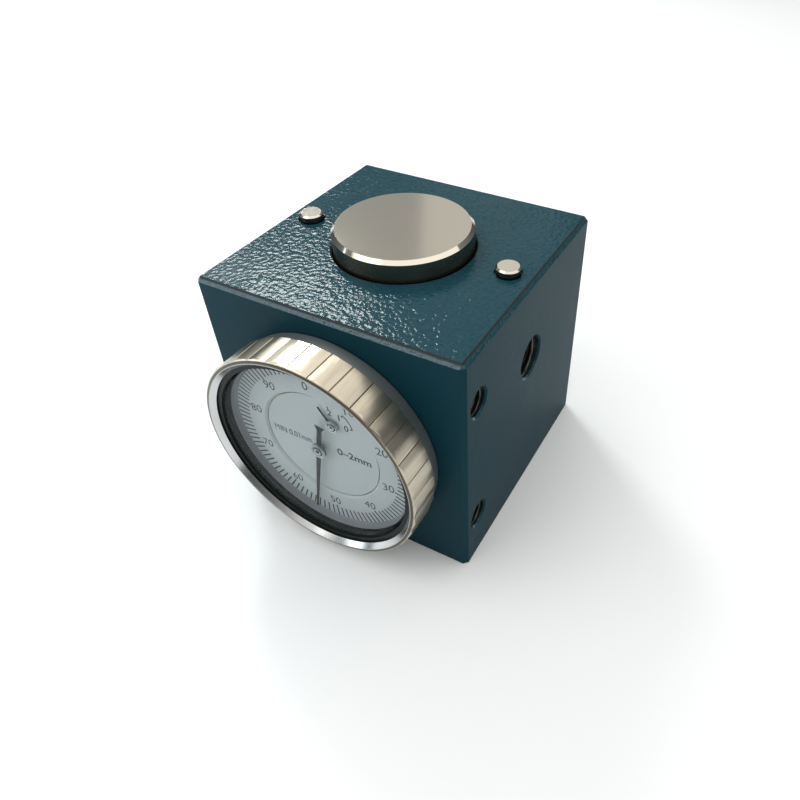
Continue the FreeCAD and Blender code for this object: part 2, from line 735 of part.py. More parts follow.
# Dial case and movement plates
def rack_slot(back, front):
    clearance = WINDOW_CLEARANCE
    left = RACK_PITCH_LINE - RACK_MODULE - clearance
    low = (left, ahead(front), ARM_BOTTOM - STROKE - clearance)
    high = (ARM_RIGHT + clearance, ahead(back), RACK_TOP + clearance)
    return box_between(low, high)


def plate_screw_holes(radius, back, front):
    places = [dial_point(PLATE_SCREW_RADIUS, angle) for angle in PLATE_SCREW_ANGLES]
    return [dial_cylinder(radius, back, front, place) for place in places]


def dial_case():
    groove_back = RING_LAYER - NECK_GROOVE_WIDTH / 2
    groove_front = RING_LAYER + NECK_GROOVE_WIDTH / 2
    groove_radius = NECK_RADIUS - NECK_GROOVE_DEPTH
    profile = [
        (0, -CASE_DEPTH),
        (CASE_RADIUS - CASE_EDGE_CHAMFER, -CASE_DEPTH),
        (CASE_RADIUS, -CASE_DEPTH + CASE_EDGE_CHAMFER),
        (CASE_RADIUS, 0),
        (FLANGE_RADIUS - FLANGE_CHAMFER, 0),
        (FLANGE_RADIUS, FLANGE_CHAMFER),
        (FLANGE_RADIUS, FLANGE_LENGTH - FLANGE_CHAMFER),
        (FLANGE_RADIUS - FLANGE_CHAMFER, FLANGE_LENGTH),
        (NECK_RADIUS, FLANGE_LENGTH),
        (NECK_RADIUS, groove_back),
        (groove_radius, groove_back),
        (groove_radius, groove_front),
        (NECK_RADIUS, groove_front),
        (NECK_RADIUS, NECK_FRONT),
        (CASE_INNER_RADIUS, NECK_FRONT),
        (CASE_INNER_RADIUS, PLATE_BACK),
        (LEDGE_RADIUS, PLATE_BACK),
        (LEDGE_RADIUS, -CASE_DEPTH + CASE_BACK_WALL),
        (0, -CASE_DEPTH + CASE_BACK_WALL),
    ]
    slot = rack_slot(-CASE_DEPTH - OVERCUT, -CASE_DEPTH + CASE_BACK_WALL + OVERCUT)
    tapped_end = PLATE_FRONT - SMALL_SCREW_LENGTH - END_PLAY
    tapped = plate_screw_holes(SMALL_SCREW_DIAMETER / 2 + THREAD_GAP, tapped_end, PLATE_BACK)
    return cut(turned_on_dial(profile), slot, *tapped)


def movement_plate():
    disc = dial_cylinder(CASE_INNER_RADIUS - BEZEL_BORE_FIT, PLATE_BACK, PLATE_FRONT)
    pivot_holes = []
    for place in (CENTRE_ARBOR, RACK_ARBOR, HAIR_ARBOR):
        pivot_holes.append(dial_cylinder(PIVOT_RADIUS + PIVOT_FIT, PLATE_BACK, PLATE_FRONT, place))
    spigot_holes = []
    for angle in PILLAR_ANGLES:
        place = dial_point(PILLAR_RADIUS, angle)
        radius = PILLAR_SPIGOT_DIAMETER / 2 + PRESS_GAP
        spigot_holes.append(dial_cylinder(radius, PLATE_BACK, PLATE_FRONT, place))
    screw_holes = plate_screw_holes(SMALL_SCREW_DIAMETER / 2 + THREAD_GAP, PLATE_BACK, PLATE_FRONT)
    stud_hole = dial_cylinder(STUD_RADIUS + PRESS_GAP, PLATE_BACK, PLATE_FRONT, stud_place())
    slot = rack_slot(PLATE_BACK, PLATE_FRONT)
    return cut(disc, slot, stud_hole, *pivot_holes, *spigot_holes, *screw_holes)


def movement_pillars():
    pillars = []
    for angle in PILLAR_ANGLES:
        place = dial_point(PILLAR_RADIUS, angle)
        post = dial_cylinder(PILLAR_DIAMETER / 2, PLATE_FRONT, BRIDGE_BACK, place)
        spigot = dial_cylinder(PILLAR_SPIGOT_DIAMETER / 2, PLATE_BACK, PLATE_FRONT, place)
        depth = BRIDGE_FRONT - SMALL_SCREW_LENGTH - END_PLAY
        tapped = dial_cylinder(SMALL_SCREW_DIAMETER / 2 + THREAD_GAP, depth, BRIDGE_BACK, place)
        pillars.append(cut(fused(post, spigot), tapped))
    return Part.makeCompound(pillars)


def movement_bridge():
    disc = dial_cylinder(BRIDGE_RADIUS, BRIDGE_BACK, BRIDGE_FRONT)
    ears = []
    holes = []
    for angle in PILLAR_ANGLES:
        place = dial_point(PILLAR_RADIUS, angle)
        ears.append(dial_cylinder(BRIDGE_EAR_RADIUS, BRIDGE_BACK, BRIDGE_FRONT, place))
        head = SMALL_HEAD_DIAMETER / 2 + THREAD_GAP
        shank = SMALL_SCREW_DIAMETER / 2 + THREAD_GAP
        sink = [
            (0, BRIDGE_BACK),
            (shank, BRIDGE_BACK),
            (shank, BRIDGE_FRONT - SUNK_HEAD_HEIGHT),
            (head, BRIDGE_FRONT),
            (0, BRIDGE_FRONT),
        ]
        holes.append(turned_on_dial(sink, place))
    for place, radius in (
        (CENTRE_ARBOR, JOURNAL_RADIUS + PIVOT_FIT),
        (RACK_ARBOR, JOURNAL_RADIUS + PIVOT_FIT),
        (HAIR_ARBOR, PIVOT_RADIUS + PIVOT_FIT),
    ):
        holes.append(dial_cylinder(radius, BRIDGE_BACK, BRIDGE_FRONT, place))
    for place in dial_foot_places():
        radius = DIAL_FOOT_DIAMETER / 2 + PRESS_GAP
        holes.append(dial_cylinder(radius, BRIDGE_BACK, BRIDGE_FRONT, place))
    return cut(fused(disc, *ears), *holes)


def plate_screws():
    screw = cheese_head_screw(
        SMALL_SCREW_DIAMETER / 2,
        SMALL_SCREW_LENGTH,
        SMALL_HEAD_DIAMETER / 2,
        SMALL_HEAD_HEIGHT,
        SMALL_SCREW_SLOT,
    )
    screws = []
    for angle in PLATE_SCREW_ANGLES:
        x, z = dial_point(PLATE_SCREW_RADIUS, angle)
        screws.append(placed(screw, Vector(x, ahead(PLATE_FRONT), z), Vector(0, -1, 0)))
    return Part.makeCompound(screws)


def bridge_screws():
    screw = sunk_head_screw(
        SMALL_SCREW_DIAMETER / 2,
        SMALL_SCREW_LENGTH,
        SMALL_HEAD_DIAMETER / 2,
        SUNK_HEAD_HEIGHT,
        SMALL_SCREW_SLOT,
    )
    screws = []
    for angle in PILLAR_ANGLES:
        x, z = dial_point(PILLAR_RADIUS, angle)
        screws.append(placed(screw, Vector(x, ahead(BRIDGE_FRONT), z), Vector(0, -1, 0)))
    return Part.makeCompound(screws)


# Gear train, meshed as the anvil stands free
def arbor_profile(front_radius, front_end):
    return [
        (0, PLATE_BACK + END_PLAY),
        (PIVOT_RADIUS, PLATE_BACK + END_PLAY),
        (PIVOT_RADIUS, PLATE_FRONT + END_PLAY),
        (SHAFT_RADIUS, PLATE_FRONT + END_PLAY),
        (SHAFT_RADIUS, BRIDGE_BACK - END_PLAY),
        (front_radius, BRIDGE_BACK - END_PLAY),
        (front_radius, front_end),
        (0, front_end),
    ]


def rack_arbor():
    front_end = INNER_DIAL_FRONT + SMALL_HAND_LIFT + SMALL_HUB_HEIGHT
    shaft = turned_on_dial(arbor_profile(JOURNAL_RADIUS, front_end), RACK_ARBOR)
    gap_at_rack = HALF_TURN / 2 + HALF_TURN / RACK_PINION_TEETH
    leaves = gear_outline(RACK_PINION_TEETH, RACK_MODULE, RACK_ARBOR, gap_at_rack, 3)
    pinion = dial_prism(leaves, RACK_BACK, RACK_FRONT)
    collar = dial_cylinder(COLLAR_RADIUS, RACK_FRONT, WHEEL_BACK, RACK_ARBOR)
    return fused(shaft, pinion, collar)


def toothed_wheel(centre, mesh_direction):
    outline = gear_outline(WHEEL_TEETH, WHEEL_MODULE, centre, mesh_direction, 1)
    blank = dial_prism(outline, WHEEL_BACK, WHEEL_FRONT)
    holes = [dial_cylinder(SHAFT_RADIUS + PRESS_GAP, WHEEL_BACK, WHEEL_FRONT, centre)]
    for number in range(WHEEL_HOLES):
        angle = mesh_direction + FULL_TURN * (number + 0.5) / WHEEL_HOLES
        place = dial_point(WHEEL_HOLE_CENTRE, angle, centre)
        holes.append(dial_cylinder(WHEEL_HOLE_RADIUS, WHEEL_BACK, WHEEL_FRONT, place))
    return cut(blank, *holes)


def transfer_wheel():
    return toothed_wheel(RACK_ARBOR, ARBOR_DIRECTION + HALF_TURN)


def hairspring_wheel():
    return toothed_wheel(HAIR_ARBOR, ARBOR_DIRECTION)


def centre_arbor():
    front_end = INNER_DIAL_FRONT + MAIN_HAND_LIFT + MAIN_HUB_HEIGHT
    shaft = turned_on_dial(arbor_profile(JOURNAL_RADIUS, front_end), CENTRE_ARBOR)
    gap_at_wheel = ARBOR_DIRECTION + HALF_TURN / CENTRE_PINION_TEETH
    leaves = gear_outline(CENTRE_PINION_TEETH, WHEEL_MODULE, CENTRE_ARBOR, gap_at_wheel, 3)
    pinion = dial_prism(leaves, WHEEL_BACK - PINION_OVERHANG, WHEEL_FRONT + PINION_OVERHANG)
    return fused(shaft, pinion)


def hairspring_arbor():
    shaft = turned_on_dial(arbor_profile(PIVOT_RADIUS, BRIDGE_FRONT - END_PLAY), HAIR_ARBOR)
    collar = dial_cylinder(COLLAR_RADIUS, WHEEL_BACK - WHEEL_STEP, WHEEL_BACK, HAIR_ARBOR)
    collet_back = PLATE_FRONT + HAIRSPRING_SETBACK
    collet = dial_cylinder(COLLAR_RADIUS, collet_back, collet_back + HAIRSPRING_HEIGHT, HAIR_ARBOR)
    return fused(shaft, collar, collet)


def stud_place():
    distance = HAIRSPRING_OUTER_RADIUS + HAIRSPRING_THICKNESS / 2 + STUD_RADIUS
    return dial_point(distance, HALF_TURN, HAIR_ARBOR)


def hairspring_stud():
    front = PLATE_FRONT + HAIRSPRING_SETBACK + HAIRSPRING_HEIGHT
    return dial_cylinder(STUD_RADIUS, PLATE_BACK, front, stud_place())


def hairspring():
    growth = (HAIRSPRING_OUTER_RADIUS - HAIRSPRING_INNER_RADIUS) / (2 * HAIRSPRING_TURNS)
    layer = ahead(PLATE_FRONT + HAIRSPRING_SETBACK)
    axis = Vector(HAIR_ARBOR[0], layer, HAIR_ARBOR[1])
    sides = []
    for side in (-0.5, 0.5):
        arcs = []
        for half_turn in range(2 * HAIRSPRING_TURNS):
            radius = HAIRSPRING_INNER_RADIUS + half_turn * growth + side * HAIRSPRING_THICKNESS
            sign = -1 if half_turn % 2 == 0 else 1
            centre = axis if half_turn % 2 == 0 else axis + Vector(0, 0, -growth)
            start = Vector(0, 0, sign * radius)
            middle = Vector(sign * radius, 0, 0)
            arc = Part.Arc(centre + start, centre + middle, centre - start)
            arcs.append(arc.toShape())
        sides.append(arcs)
    inner_end = Part.makeLine(sides[0][0].firstVertex().Point, sides[1][0].firstVertex().Point)
    outer_end = Part.makeLine(sides[0][-1].lastVertex().Point, sides[1][-1].lastVertex().Point)
    outline = Part.Wire(Part.__sortEdges__(sides[0] + [outer_end] + sides[1] + [inner_end]))
    return Part.Face(outline).extrude(Vector(0, -HAIRSPRING_HEIGHT, 0))


# Dial and hands
def dial_foot_places():
    angles = (ARBOR_DIRECTION + HALF_TURN / 2, ARBOR_DIRECTION - HALF_TURN / 2)
    return [dial_point(DIAL_FOOT_RADIUS, angle) for angle in angles]


def inner_dial():
    disc = dial_cylinder(INNER_DIAL_RADIUS, BRIDGE_FRONT, INNER_DIAL_FRONT)
    feet = []
    for place in dial_foot_places():
        foot_end = BRIDGE_FRONT - DIAL_FOOT_LENGTH
        feet.append(dial_cylinder(DIAL_FOOT_DIAMETER / 2, foot_end, BRIDGE_FRONT, place))
    holes = []
    for place in (CENTRE_ARBOR, RACK_ARBOR):
        holes.append(dial_cylinder(SHAFT_RADIUS, BRIDGE_FRONT, INNER_DIAL_FRONT, place))
    return cut(fused(disc, *feet), *holes)


def scale_ring():
    profile = [
        (SCALE_RING_BORE_RADIUS, SCALE_BACK),
        (SCALE_RING_RADIUS, SCALE_BACK),
        (SCALE_RING_RADIUS, SCALE_FRONT),
        (SCALE_RING_BORE_RADIUS + SCALE_RING_BEVEL, SCALE_FRONT),
    ]
    return turned_on_dial(profile)


def hand_outline(centre, angle, stations):
    left = []
    right = []
    for distance, width in stations:
        along = dial_point(distance, angle, centre)
        left.append(dial_point(width / 2, angle - HALF_TURN / 2, along))
        right.append(dial_point(width / 2, angle + HALF_TURN / 2, along))
    return left + right[::-1]


def hand(centre, angle, stations, lift, hub_radius, hub_height, socket_length):
    back = INNER_DIAL_FRONT + lift
    blade = dial_prism(hand_outline(centre, angle, stations), back, back + HAND_THICKNESS)
    hub = dial_cylinder(hub_radius, back, back + hub_height, centre)
    socket = dial_cylinder(HAND_SOCKET_RADIUS, back - socket_length, back, centre)
    bore = dial_cylinder(JOURNAL_RADIUS + PRESS_GAP, back - socket_length, back + hub_height, centre)
    return cut(fused(blade, hub, socket), bore)


def main_hand():
    stations = [
        (-MAIN_TAIL_LENGTH, MAIN_TAIL_END_WIDTH),
        (MAIN_TAIL_FLARE - MAIN_TAIL_LENGTH, MAIN_TAIL_WIDTH),
        (0, MAIN_HAND_ROOT_WIDTH),
        (MAIN_HAND_LENGTH, MAIN_HAND_TIP_WIDTH),
    ]
    angle = SCALE_ZERO_ANGLE + MAIN_HAND_TURN * FREE_READING
    socket = MAIN_HAND_LIFT / 2
    return hand(CENTRE_ARBOR, angle, stations, MAIN_HAND_LIFT, MAIN_HUB_RADIUS, MAIN_HUB_HEIGHT, socket)


def small_hand():
    stations = [(0, SMALL_HAND_ROOT_WIDTH), (SMALL_HAND_LENGTH, SMALL_HAND_TIP_WIDTH)]
    angle = SUB_ZERO_ANGLE - SMALL_HAND_TURN * FREE_READING
    socket = SMALL_HAND_LIFT / 2
    return hand(RACK_ARBOR, angle, stations, SMALL_HAND_LIFT, SMALL_HUB_RADIUS, SMALL_HUB_HEIGHT, socket)


# Bezel with its flutes, and what it holds
def fluted_prism():
    outline = []
    period = FULL_TURN / FLUTE_COUNT
    edge_radius = BEZEL_RADIUS - FLUTE_FALL
    for flute in range(FLUTE_COUNT):
        groove = FLUTE_FIRST_ANGLE + flute * period
        outline.append(dial_point(edge_radius, groove - GROOVE_HALF_ANGLE))
        outline.append(dial_point(BEZEL_RADIUS - GROOVE_DEPTH, groove))
        outline.append(dial_point(edge_radius, groove + GROOVE_HALF_ANGLE))
        outline.append(dial_point(BEZEL_RADIUS, groove + period / 2))
    return dial_prism(outline, BEZEL_BACK, BEZEL_FRONT)


def bezel():
    groove_half = RING_SECTION / 2 + RING_SIDE_GAP
    groove_radius = NECK_BORE_RADIUS + RING_SECTION / 2 + RING_SIDE_GAP
    cone_top = BEZEL_RADIUS - BEZEL_SHOULDER_RADIUS - BEZEL_LIP_WIDTH
    profile = [
        (NECK_BORE_RADIUS, BEZEL_BACK),
        (BEZEL_RADIUS - BEZEL_REAR_CHAMFER, BEZEL_BACK),
        (BEZEL_RADIUS, BEZEL_BACK + BEZEL_REAR_CHAMFER),
        (BEZEL_RADIUS, BEZEL_FRONT),
        (cone_top, BEZEL_FRONT),
        (RIM_RADIUS, RIM_LAYER),
        (RIM_RADIUS, LEDGE_FRONT),
        (BEZEL_SIGHT_RADIUS + BEZEL_SIGHT_TAPER, LEDGE_FRONT),
        (BEZEL_SIGHT_RADIUS, SCALE_FRONT),
        (SCALE_RING_RADIUS + BEZEL_BORE_FIT, SCALE_FRONT),
        (SCALE_RING_RADIUS + BEZEL_BORE_FIT, SCALE_BACK),
        (NECK_BORE_RADIUS, SCALE_BACK),
        (NECK_BORE_RADIUS, RING_LAYER + groove_half),
        (groove_radius, RING_LAYER + groove_half),
        (groove_radius, RING_LAYER - groove_half),
        (NECK_BORE_RADIUS, RING_LAYER - groove_half),
    ]
    ring = turned_on_dial(profile)
    shoulder = []
    for edge in ring.Edges:
        on_front = abs(edge.BoundBox.YMin - ahead(BEZEL_FRONT)) < 0.01
        outermost = edge.BoundBox.XMax > BEZEL_RADIUS - 0.01
        if on_front and outermost:
            shoulder.append(edge)
    rounded = ring.makeFillet(BEZEL_SHOULDER_RADIUS, shoulder)
    return rounded.common(fluted_prism())


def gasket():
    outer = RIM_RADIUS - RUNNING_FIT
    profile = [
        (BEZEL_SIGHT_RADIUS + BEZEL_SIGHT_TAPER, LEDGE_FRONT),
        (outer, LEDGE_FRONT),
        (outer, GASKET_FRONT),
        (CRYSTAL_RADIUS + RUNNING_FIT, GASKET_FRONT),
        (CRYSTAL_RADIUS + RUNNING_FIT, CRYSTAL_BACK),
        (BEZEL_SIGHT_RADIUS + BEZEL_SIGHT_TAPER, CRYSTAL_BACK),
    ]
    return turned_on_dial(profile)


def crystal():
    profile = [
        (0, CRYSTAL_BACK),
        (CRYSTAL_RADIUS, CRYSTAL_BACK),
        (CRYSTAL_RADIUS, CRYSTAL_FRONT - CRYSTAL_BEVEL),
        (CRYSTAL_RADIUS - CRYSTAL_BEVEL, CRYSTAL_FRONT),
        (0, CRYSTAL_FRONT),
    ]
    return turned_on_dial(profile)


def retaining_ring():
    half = RING_SECTION / 2
    radius = NECK_BORE_RADIUS
    opening = math.radians(RING_OPENING_ANGLE / 2)
    corners = []
    for across, along in ((-half, -half), (half, -half), (half, half), (-half, half)):
        x = (radius + across) * math.sin(opening)
        z = DIAL_HEIGHT + (radius + across) * math.cos(opening)
        corners.append(Vector(x, ahead(RING_LAYER + along), z))
    section = Part.Face(Part.makePolygon(corners + corners[:1]))
    return section.revolve(Vector(0, 0, DIAL_HEIGHT), Vector(0, 1, 0), FULL_TURN - RING_OPENING_ANGLE)


PARTS = {
    "body_block": body_block,
    "anvil": anvil,
    "upper_guide_bush": upper_guide_bush,
    "lower_guide_bush": lower_guide_bush,
    "spring_plug": spring_plug,
    "return_spring": return_spring,
    "datum_pin_right": lambda: datum_pin(PIN_OFFSET),
    "datum_pin_left": lambda: datum_pin(-PIN_OFFSET),
    "guide_screw": guide_screw,
    "case_set_screws": case_set_screws,
    "rack": rack,
    "bracket_screws": bracket_screws,
    "dial_case": dial_case,
    "movement_plate": movement_plate,
    "movement_pillars": movement_pillars,
    "movement_bridge": movement_bridge,
    "plate_screws": plate_screws,
    "bridge_screws": bridge_screws,
    "rack_arbor": rack_arbor,
    "transfer_wheel": transfer_wheel,
    "centre_arbor": centre_arbor,
    "hairspring_arbor": hairspring_arbor,
    "hairspring_wheel": hairspring_wheel,
    "hairspring": hairspring,
    "hairspring_stud": hairspring_stud,
    "inner_dial": inner_dial,
    "scale_ring": scale_ring,
    "main_hand": main_hand,
    "small_hand": small_hand,
    "bezel": bezel,
    "gasket": gasket,
    "crystal": crystal,
    "retaining_ring": retaining_ring,
}

os.makedirs("parts", exist_ok=True)
for name, build in PARTS.items():
    build().exportStep("parts/" + name + ".step")
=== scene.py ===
import json
import math

import bmesh
import bpy
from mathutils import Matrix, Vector

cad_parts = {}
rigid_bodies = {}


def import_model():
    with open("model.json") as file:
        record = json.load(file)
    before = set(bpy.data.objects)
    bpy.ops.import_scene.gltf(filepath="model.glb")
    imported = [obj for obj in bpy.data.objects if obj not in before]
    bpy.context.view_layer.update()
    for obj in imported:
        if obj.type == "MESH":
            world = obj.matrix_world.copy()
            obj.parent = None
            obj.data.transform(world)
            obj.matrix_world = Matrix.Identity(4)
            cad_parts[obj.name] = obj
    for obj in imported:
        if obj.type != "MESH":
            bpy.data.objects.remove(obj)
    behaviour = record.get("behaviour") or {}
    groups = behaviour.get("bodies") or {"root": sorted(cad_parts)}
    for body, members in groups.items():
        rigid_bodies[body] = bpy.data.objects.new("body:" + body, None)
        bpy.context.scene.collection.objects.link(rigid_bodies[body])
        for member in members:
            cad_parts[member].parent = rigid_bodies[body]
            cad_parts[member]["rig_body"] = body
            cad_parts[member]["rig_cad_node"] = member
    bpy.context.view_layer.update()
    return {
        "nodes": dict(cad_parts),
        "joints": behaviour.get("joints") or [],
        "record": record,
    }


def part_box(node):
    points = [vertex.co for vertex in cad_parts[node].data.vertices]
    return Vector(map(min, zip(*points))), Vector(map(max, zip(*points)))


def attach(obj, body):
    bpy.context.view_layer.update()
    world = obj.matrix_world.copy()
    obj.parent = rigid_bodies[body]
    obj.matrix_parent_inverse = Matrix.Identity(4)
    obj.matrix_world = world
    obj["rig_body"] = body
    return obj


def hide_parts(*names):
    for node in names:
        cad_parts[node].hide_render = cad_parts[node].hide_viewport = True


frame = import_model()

bl_info = {
    "name": "Dial tool setter",
    "version": (1, 0, 0),
    "blender": (4, 5, 0),
    "location": "View3D > Sidebar > Tool Setter",
    "description": "Finishes and small parts of a dial tool setter, around its fixed CAD frame",
    "category": "Object",
}

MM = 0.001

# Vertices closer than this are one
MERGE_DISTANCE = 0.0005 * MM

# The dial's ink, which is sunk into the dial a little, and what is printed with it
INK_THICKNESS = 0.014 * MM
INK_SINK = 0.002 * MM
INK_MIDDLE = INK_SINK - INK_THICKNESS / 2
MARK_STEP = math.radians(3.6)
MARK_LENGTH = 2.4 * MM
TENTH_MARK_LENGTH = 2.75 * MM
MILLIMETRE_STEP = math.radians(46)
ARC_STEPS = 16
CAPTION_RISE = 0.3 * MM
# The height of a numeral and how much a caption's lines are thickened, at a text size of 1
DIGIT_HEIGHT = 0.73
CAPTION_WEIGHT = 0.02

# The threads in the side holes, and how far their finish reaches past the holes' radius
THREAD_SINK = 0.08 * MM
THREAD_START = 0.55 * MM
THREAD_END_GAP = 0.1 * MM
THREAD_STEPS = 36
HOLE_MARGIN = 0.08 * MM

# The sliver of the gasket, with its angles clockwise from the dial's top
LIP_RADIUS = 17.5 * MM
LIP_WIDTH = 0.84 * MM
LIP_DEPTH = 0.34 * MM
LIP_LIFT = 0.12 * MM
LIP_START = math.radians(138)
LIP_SWEEP = math.radians(15)
LIP_STEPS = 12

# Inside the bezel, the wall is grey behind this plane and black before it
WALL_FRONT = -31.9 * MM
WALL_RADIUS = 18.8 * MM

# The hands' hubs and rivets. Each step is an inset, as a share of the radius, and how many mm it sinks
HUB_HEIGHT = 0.2 * MM
RIVET_DEPTH = 0.12 * MM
RIVET_BEVEL = 0.04 * MM
RIVET_LIFT = 0.05 * MM
RIVET_STEPS = ((0.22, 0.07), (0.10, 0.0), (0.10, -0.09), (0.16, 0.0), (0.10, 0.06))

SENSOR_WIDTH = 36.0
CAMERA_SHIFT = (-0.0954, -0.0143)
CAMERA_NEAR = 0.005


# Places read from the frame
def joint_place(name):
    for joint in frame["joints"]:
        if joint["name"] == name:
            return Vector(joint["pos_m"])
    raise RuntimeError("the frame has no joint named " + name)


def front_of(node):
    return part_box(node)[0].y


DIAL_AXIS = joint_place("bezel_turn")
SUB_AXIS = joint_place("small_hand_turn")
SCALE_FACE = front_of("scale_ring")
INNER_FACE = front_of("inner_dial")
BLOCK_LOW, BLOCK_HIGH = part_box("body_block")
ANVIL_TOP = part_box("anvil")[1].z
BEZEL_LOW, BEZEL_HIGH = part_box("bezel")
BEZEL_RADIUS = (BEZEL_HIGH.z - BEZEL_LOW.z) / 2
BLOCK_TOP = Vector((0.0, 0.0, BLOCK_HIGH.z))
BODY_OF = {node: body for body, nodes in frame["record"]["behaviour"]["bodies"].items() for node in nodes}
# Each hand with its axis, its rivet's radius and its hub's radius
HANDS = (("main_hand", DIAL_AXIS, 1.36 * MM, 1.52 * MM), ("small_hand", SUB_AXIS, 1.12 * MM, 1.27 * MM))


# What a user would change
class PaintSettings(bpy.types.PropertyGroup):
    colour: bpy.props.FloatVectorProperty(
        name="Paint",
        description="Colour of the block's paint",
        subtype="COLOR",
        size=3,
        min=0.0,
        max=1.0,
        default=(0.005, 0.040, 0.058),
    )
    wrinkle_size: bpy.props.FloatProperty(
        name="Wrinkle size",
        description="Distance between two wrinkles of the top's paint",
        unit="LENGTH",
        default=0.75 * MM,
        min=0.2 * MM,
        max=5 * MM,
    )
    wrinkle_depth: bpy.props.FloatProperty(
        name="Wrinkle depth",
        description="How far the top's wrinkles stand up",
        unit="LENGTH",
        default=0.16 * MM,
        min=0.0,
        max=1 * MM,
    )
    roughness: bpy.props.FloatProperty(
        name="Roughness",
        description="Roughness of the smooth paint on the sides",
        subtype="FACTOR",
        default=0.42,
        min=0.0,
        max=1.0,
    )


class MetalSettings(bpy.types.PropertyGroup):
    bezel_colour: bpy.props.FloatVectorProperty(
        name="Bezel",
        description="Colour of the fluted ring's satin plating",
        subtype="COLOR",
        size=3,
        min=0.0,
        max=1.0,
        default=(0.61, 0.56, 0.465),
    )
    anvil_colour: bpy.props.FloatVectorProperty(
        name="Anvil",
        description="Colour of the anvil's ground steel",
        subtype="COLOR",
        size=3,
        min=0.0,
        max=1.0,
        default=(0.50, 0.475, 0.42),
    )
    case_colour: bpy.props.FloatVectorProperty(
        name="Dial case",
        description="Colour of the grey ring behind the bezel",
        subtype="COLOR",
        size=3,
        min=0.0,
        max=1.0,
        default=(0.30, 0.34, 0.35),
    )
    line_spacing: bpy.props.FloatProperty(
        name="Grain spacing",
        description="Distance between the fine lines on the bezel's flutes",
        unit="LENGTH",
        default=0.12 * MM,
        min=0.02 * MM,
        max=1 * MM,
    )


class DialSettings(bpy.types.PropertyGroup):
    face_colour: bpy.props.FloatVectorProperty(
        name="Dial",
        description="Colour of the dial's paint",
        subtype="COLOR",
        size=3,
        min=0.0,
        max=1.0,
        default=(0.54, 0.56, 0.58),
    )
    ink_colour: bpy.props.FloatVectorProperty(
        name="Marks",
        description="Colour of the dial's marks and numerals",
        subtype="COLOR",
        size=3,
        min=0.0,
        max=1.0,
        default=(0.012, 0.013, 0.018),
    )
    turn: bpy.props.FloatProperty(
        name="Scale turn",
        description="How far the scale is turned clockwise from upright",
        subtype="ANGLE",
        default=math.radians(-3.2),
    )
    mark_outer: bpy.props.FloatProperty(
        name="Mark outer radius",
        description="Distance of the marks' outer ends from the dial's middle",
        unit="LENGTH",
        default=17.85 * MM,
    )
    mark_width: bpy.props.FloatProperty(
        name="Mark width",
        description="Width of one mark",
        unit="LENGTH",
        default=0.31 * MM,
    )
    numeral_radius: bpy.props.FloatProperty(
        name="Numeral radius",
        description="Distance of the numerals' middles from the dial's middle",
        unit="LENGTH",
        default=13.8 * MM,
    )
    numeral_height: bpy.props.FloatProperty(
        name="Numeral height",
        description="Height of the numerals from 0 to 90",
        unit="LENGTH",
        default=1.8 * MM,
    )


class StageSettings(bpy.types.PropertyGroup):
    camera_place: bpy.props.FloatVectorProperty(
        name="Camera place",
        description="Where the camera stands",
        subtype="TRANSLATION",
        unit="LENGTH",
        size=3,
        default=(60.69 * MM, -89.91 * MM, 110.77 * MM),
    )
    camera_turn: bpy.props.FloatVectorProperty(
        name="Camera turn",
        description="Tilt, roll and heading of the camera",
        subtype="EULER",
        size=3,
        default=(math.radians(48.104), math.radians(-0.101), math.radians(27.331)),
    )
    lens: bpy.props.FloatProperty(
        name="Lens",
        description="Focal length, for a sensor 36 mm wide",
        subtype="DISTANCE_CAMERA",
        default=30.795,
    )
    floor_colour: bpy.props.FloatVectorProperty(
        name="Floor",
        description="Colour of the pale floor",
        subtype="COLOR",
        size=3,
        min=0.0,
        max=1.0,
        default=(0.90, 0.93, 0.97),
    )


# Shader expressions
class Amount:
    """A number that changes over a surface, for use in plain arithmetic."""

    def __init__(self, finish, socket):
        self.finish = finish
        self.socket = socket

    def maths(self, operation, first, second):
        node = self.finish.node("ShaderNodeMath", {"operation": operation}, {0: first, 1: second})
        return Amount(self.finish, node.outputs[0])

    def __add__(self, other):
        return self.maths("ADD", self, other)

    def __radd__(self, other):
        return self.maths("ADD", other, self)

    def __sub__(self, other):
        return self.maths("SUBTRACT", self, other)

    def __rsub__(self, other):
        return self.maths("SUBTRACT", other, self)

    def __mul__(self, other):
        return self.maths("MULTIPLY", self, other)

    def __rmul__(self, other):
        return self.maths("MULTIPLY", other, self)

    def __pow__(self, other):
        return self.maths("POWER", self, other)

    def between(self, low, high):
        """0 below low, 1 above high and a soft step from one to the other."""
        settings = {"interpolation_type": "SMOOTHSTEP"}
        sockets = {"Value": self, "From Min": low, "From Max": high}
        node = self.finish.node("ShaderNodeMapRange", settings, sockets)
        return Amount(self.finish, node.outputs[0])


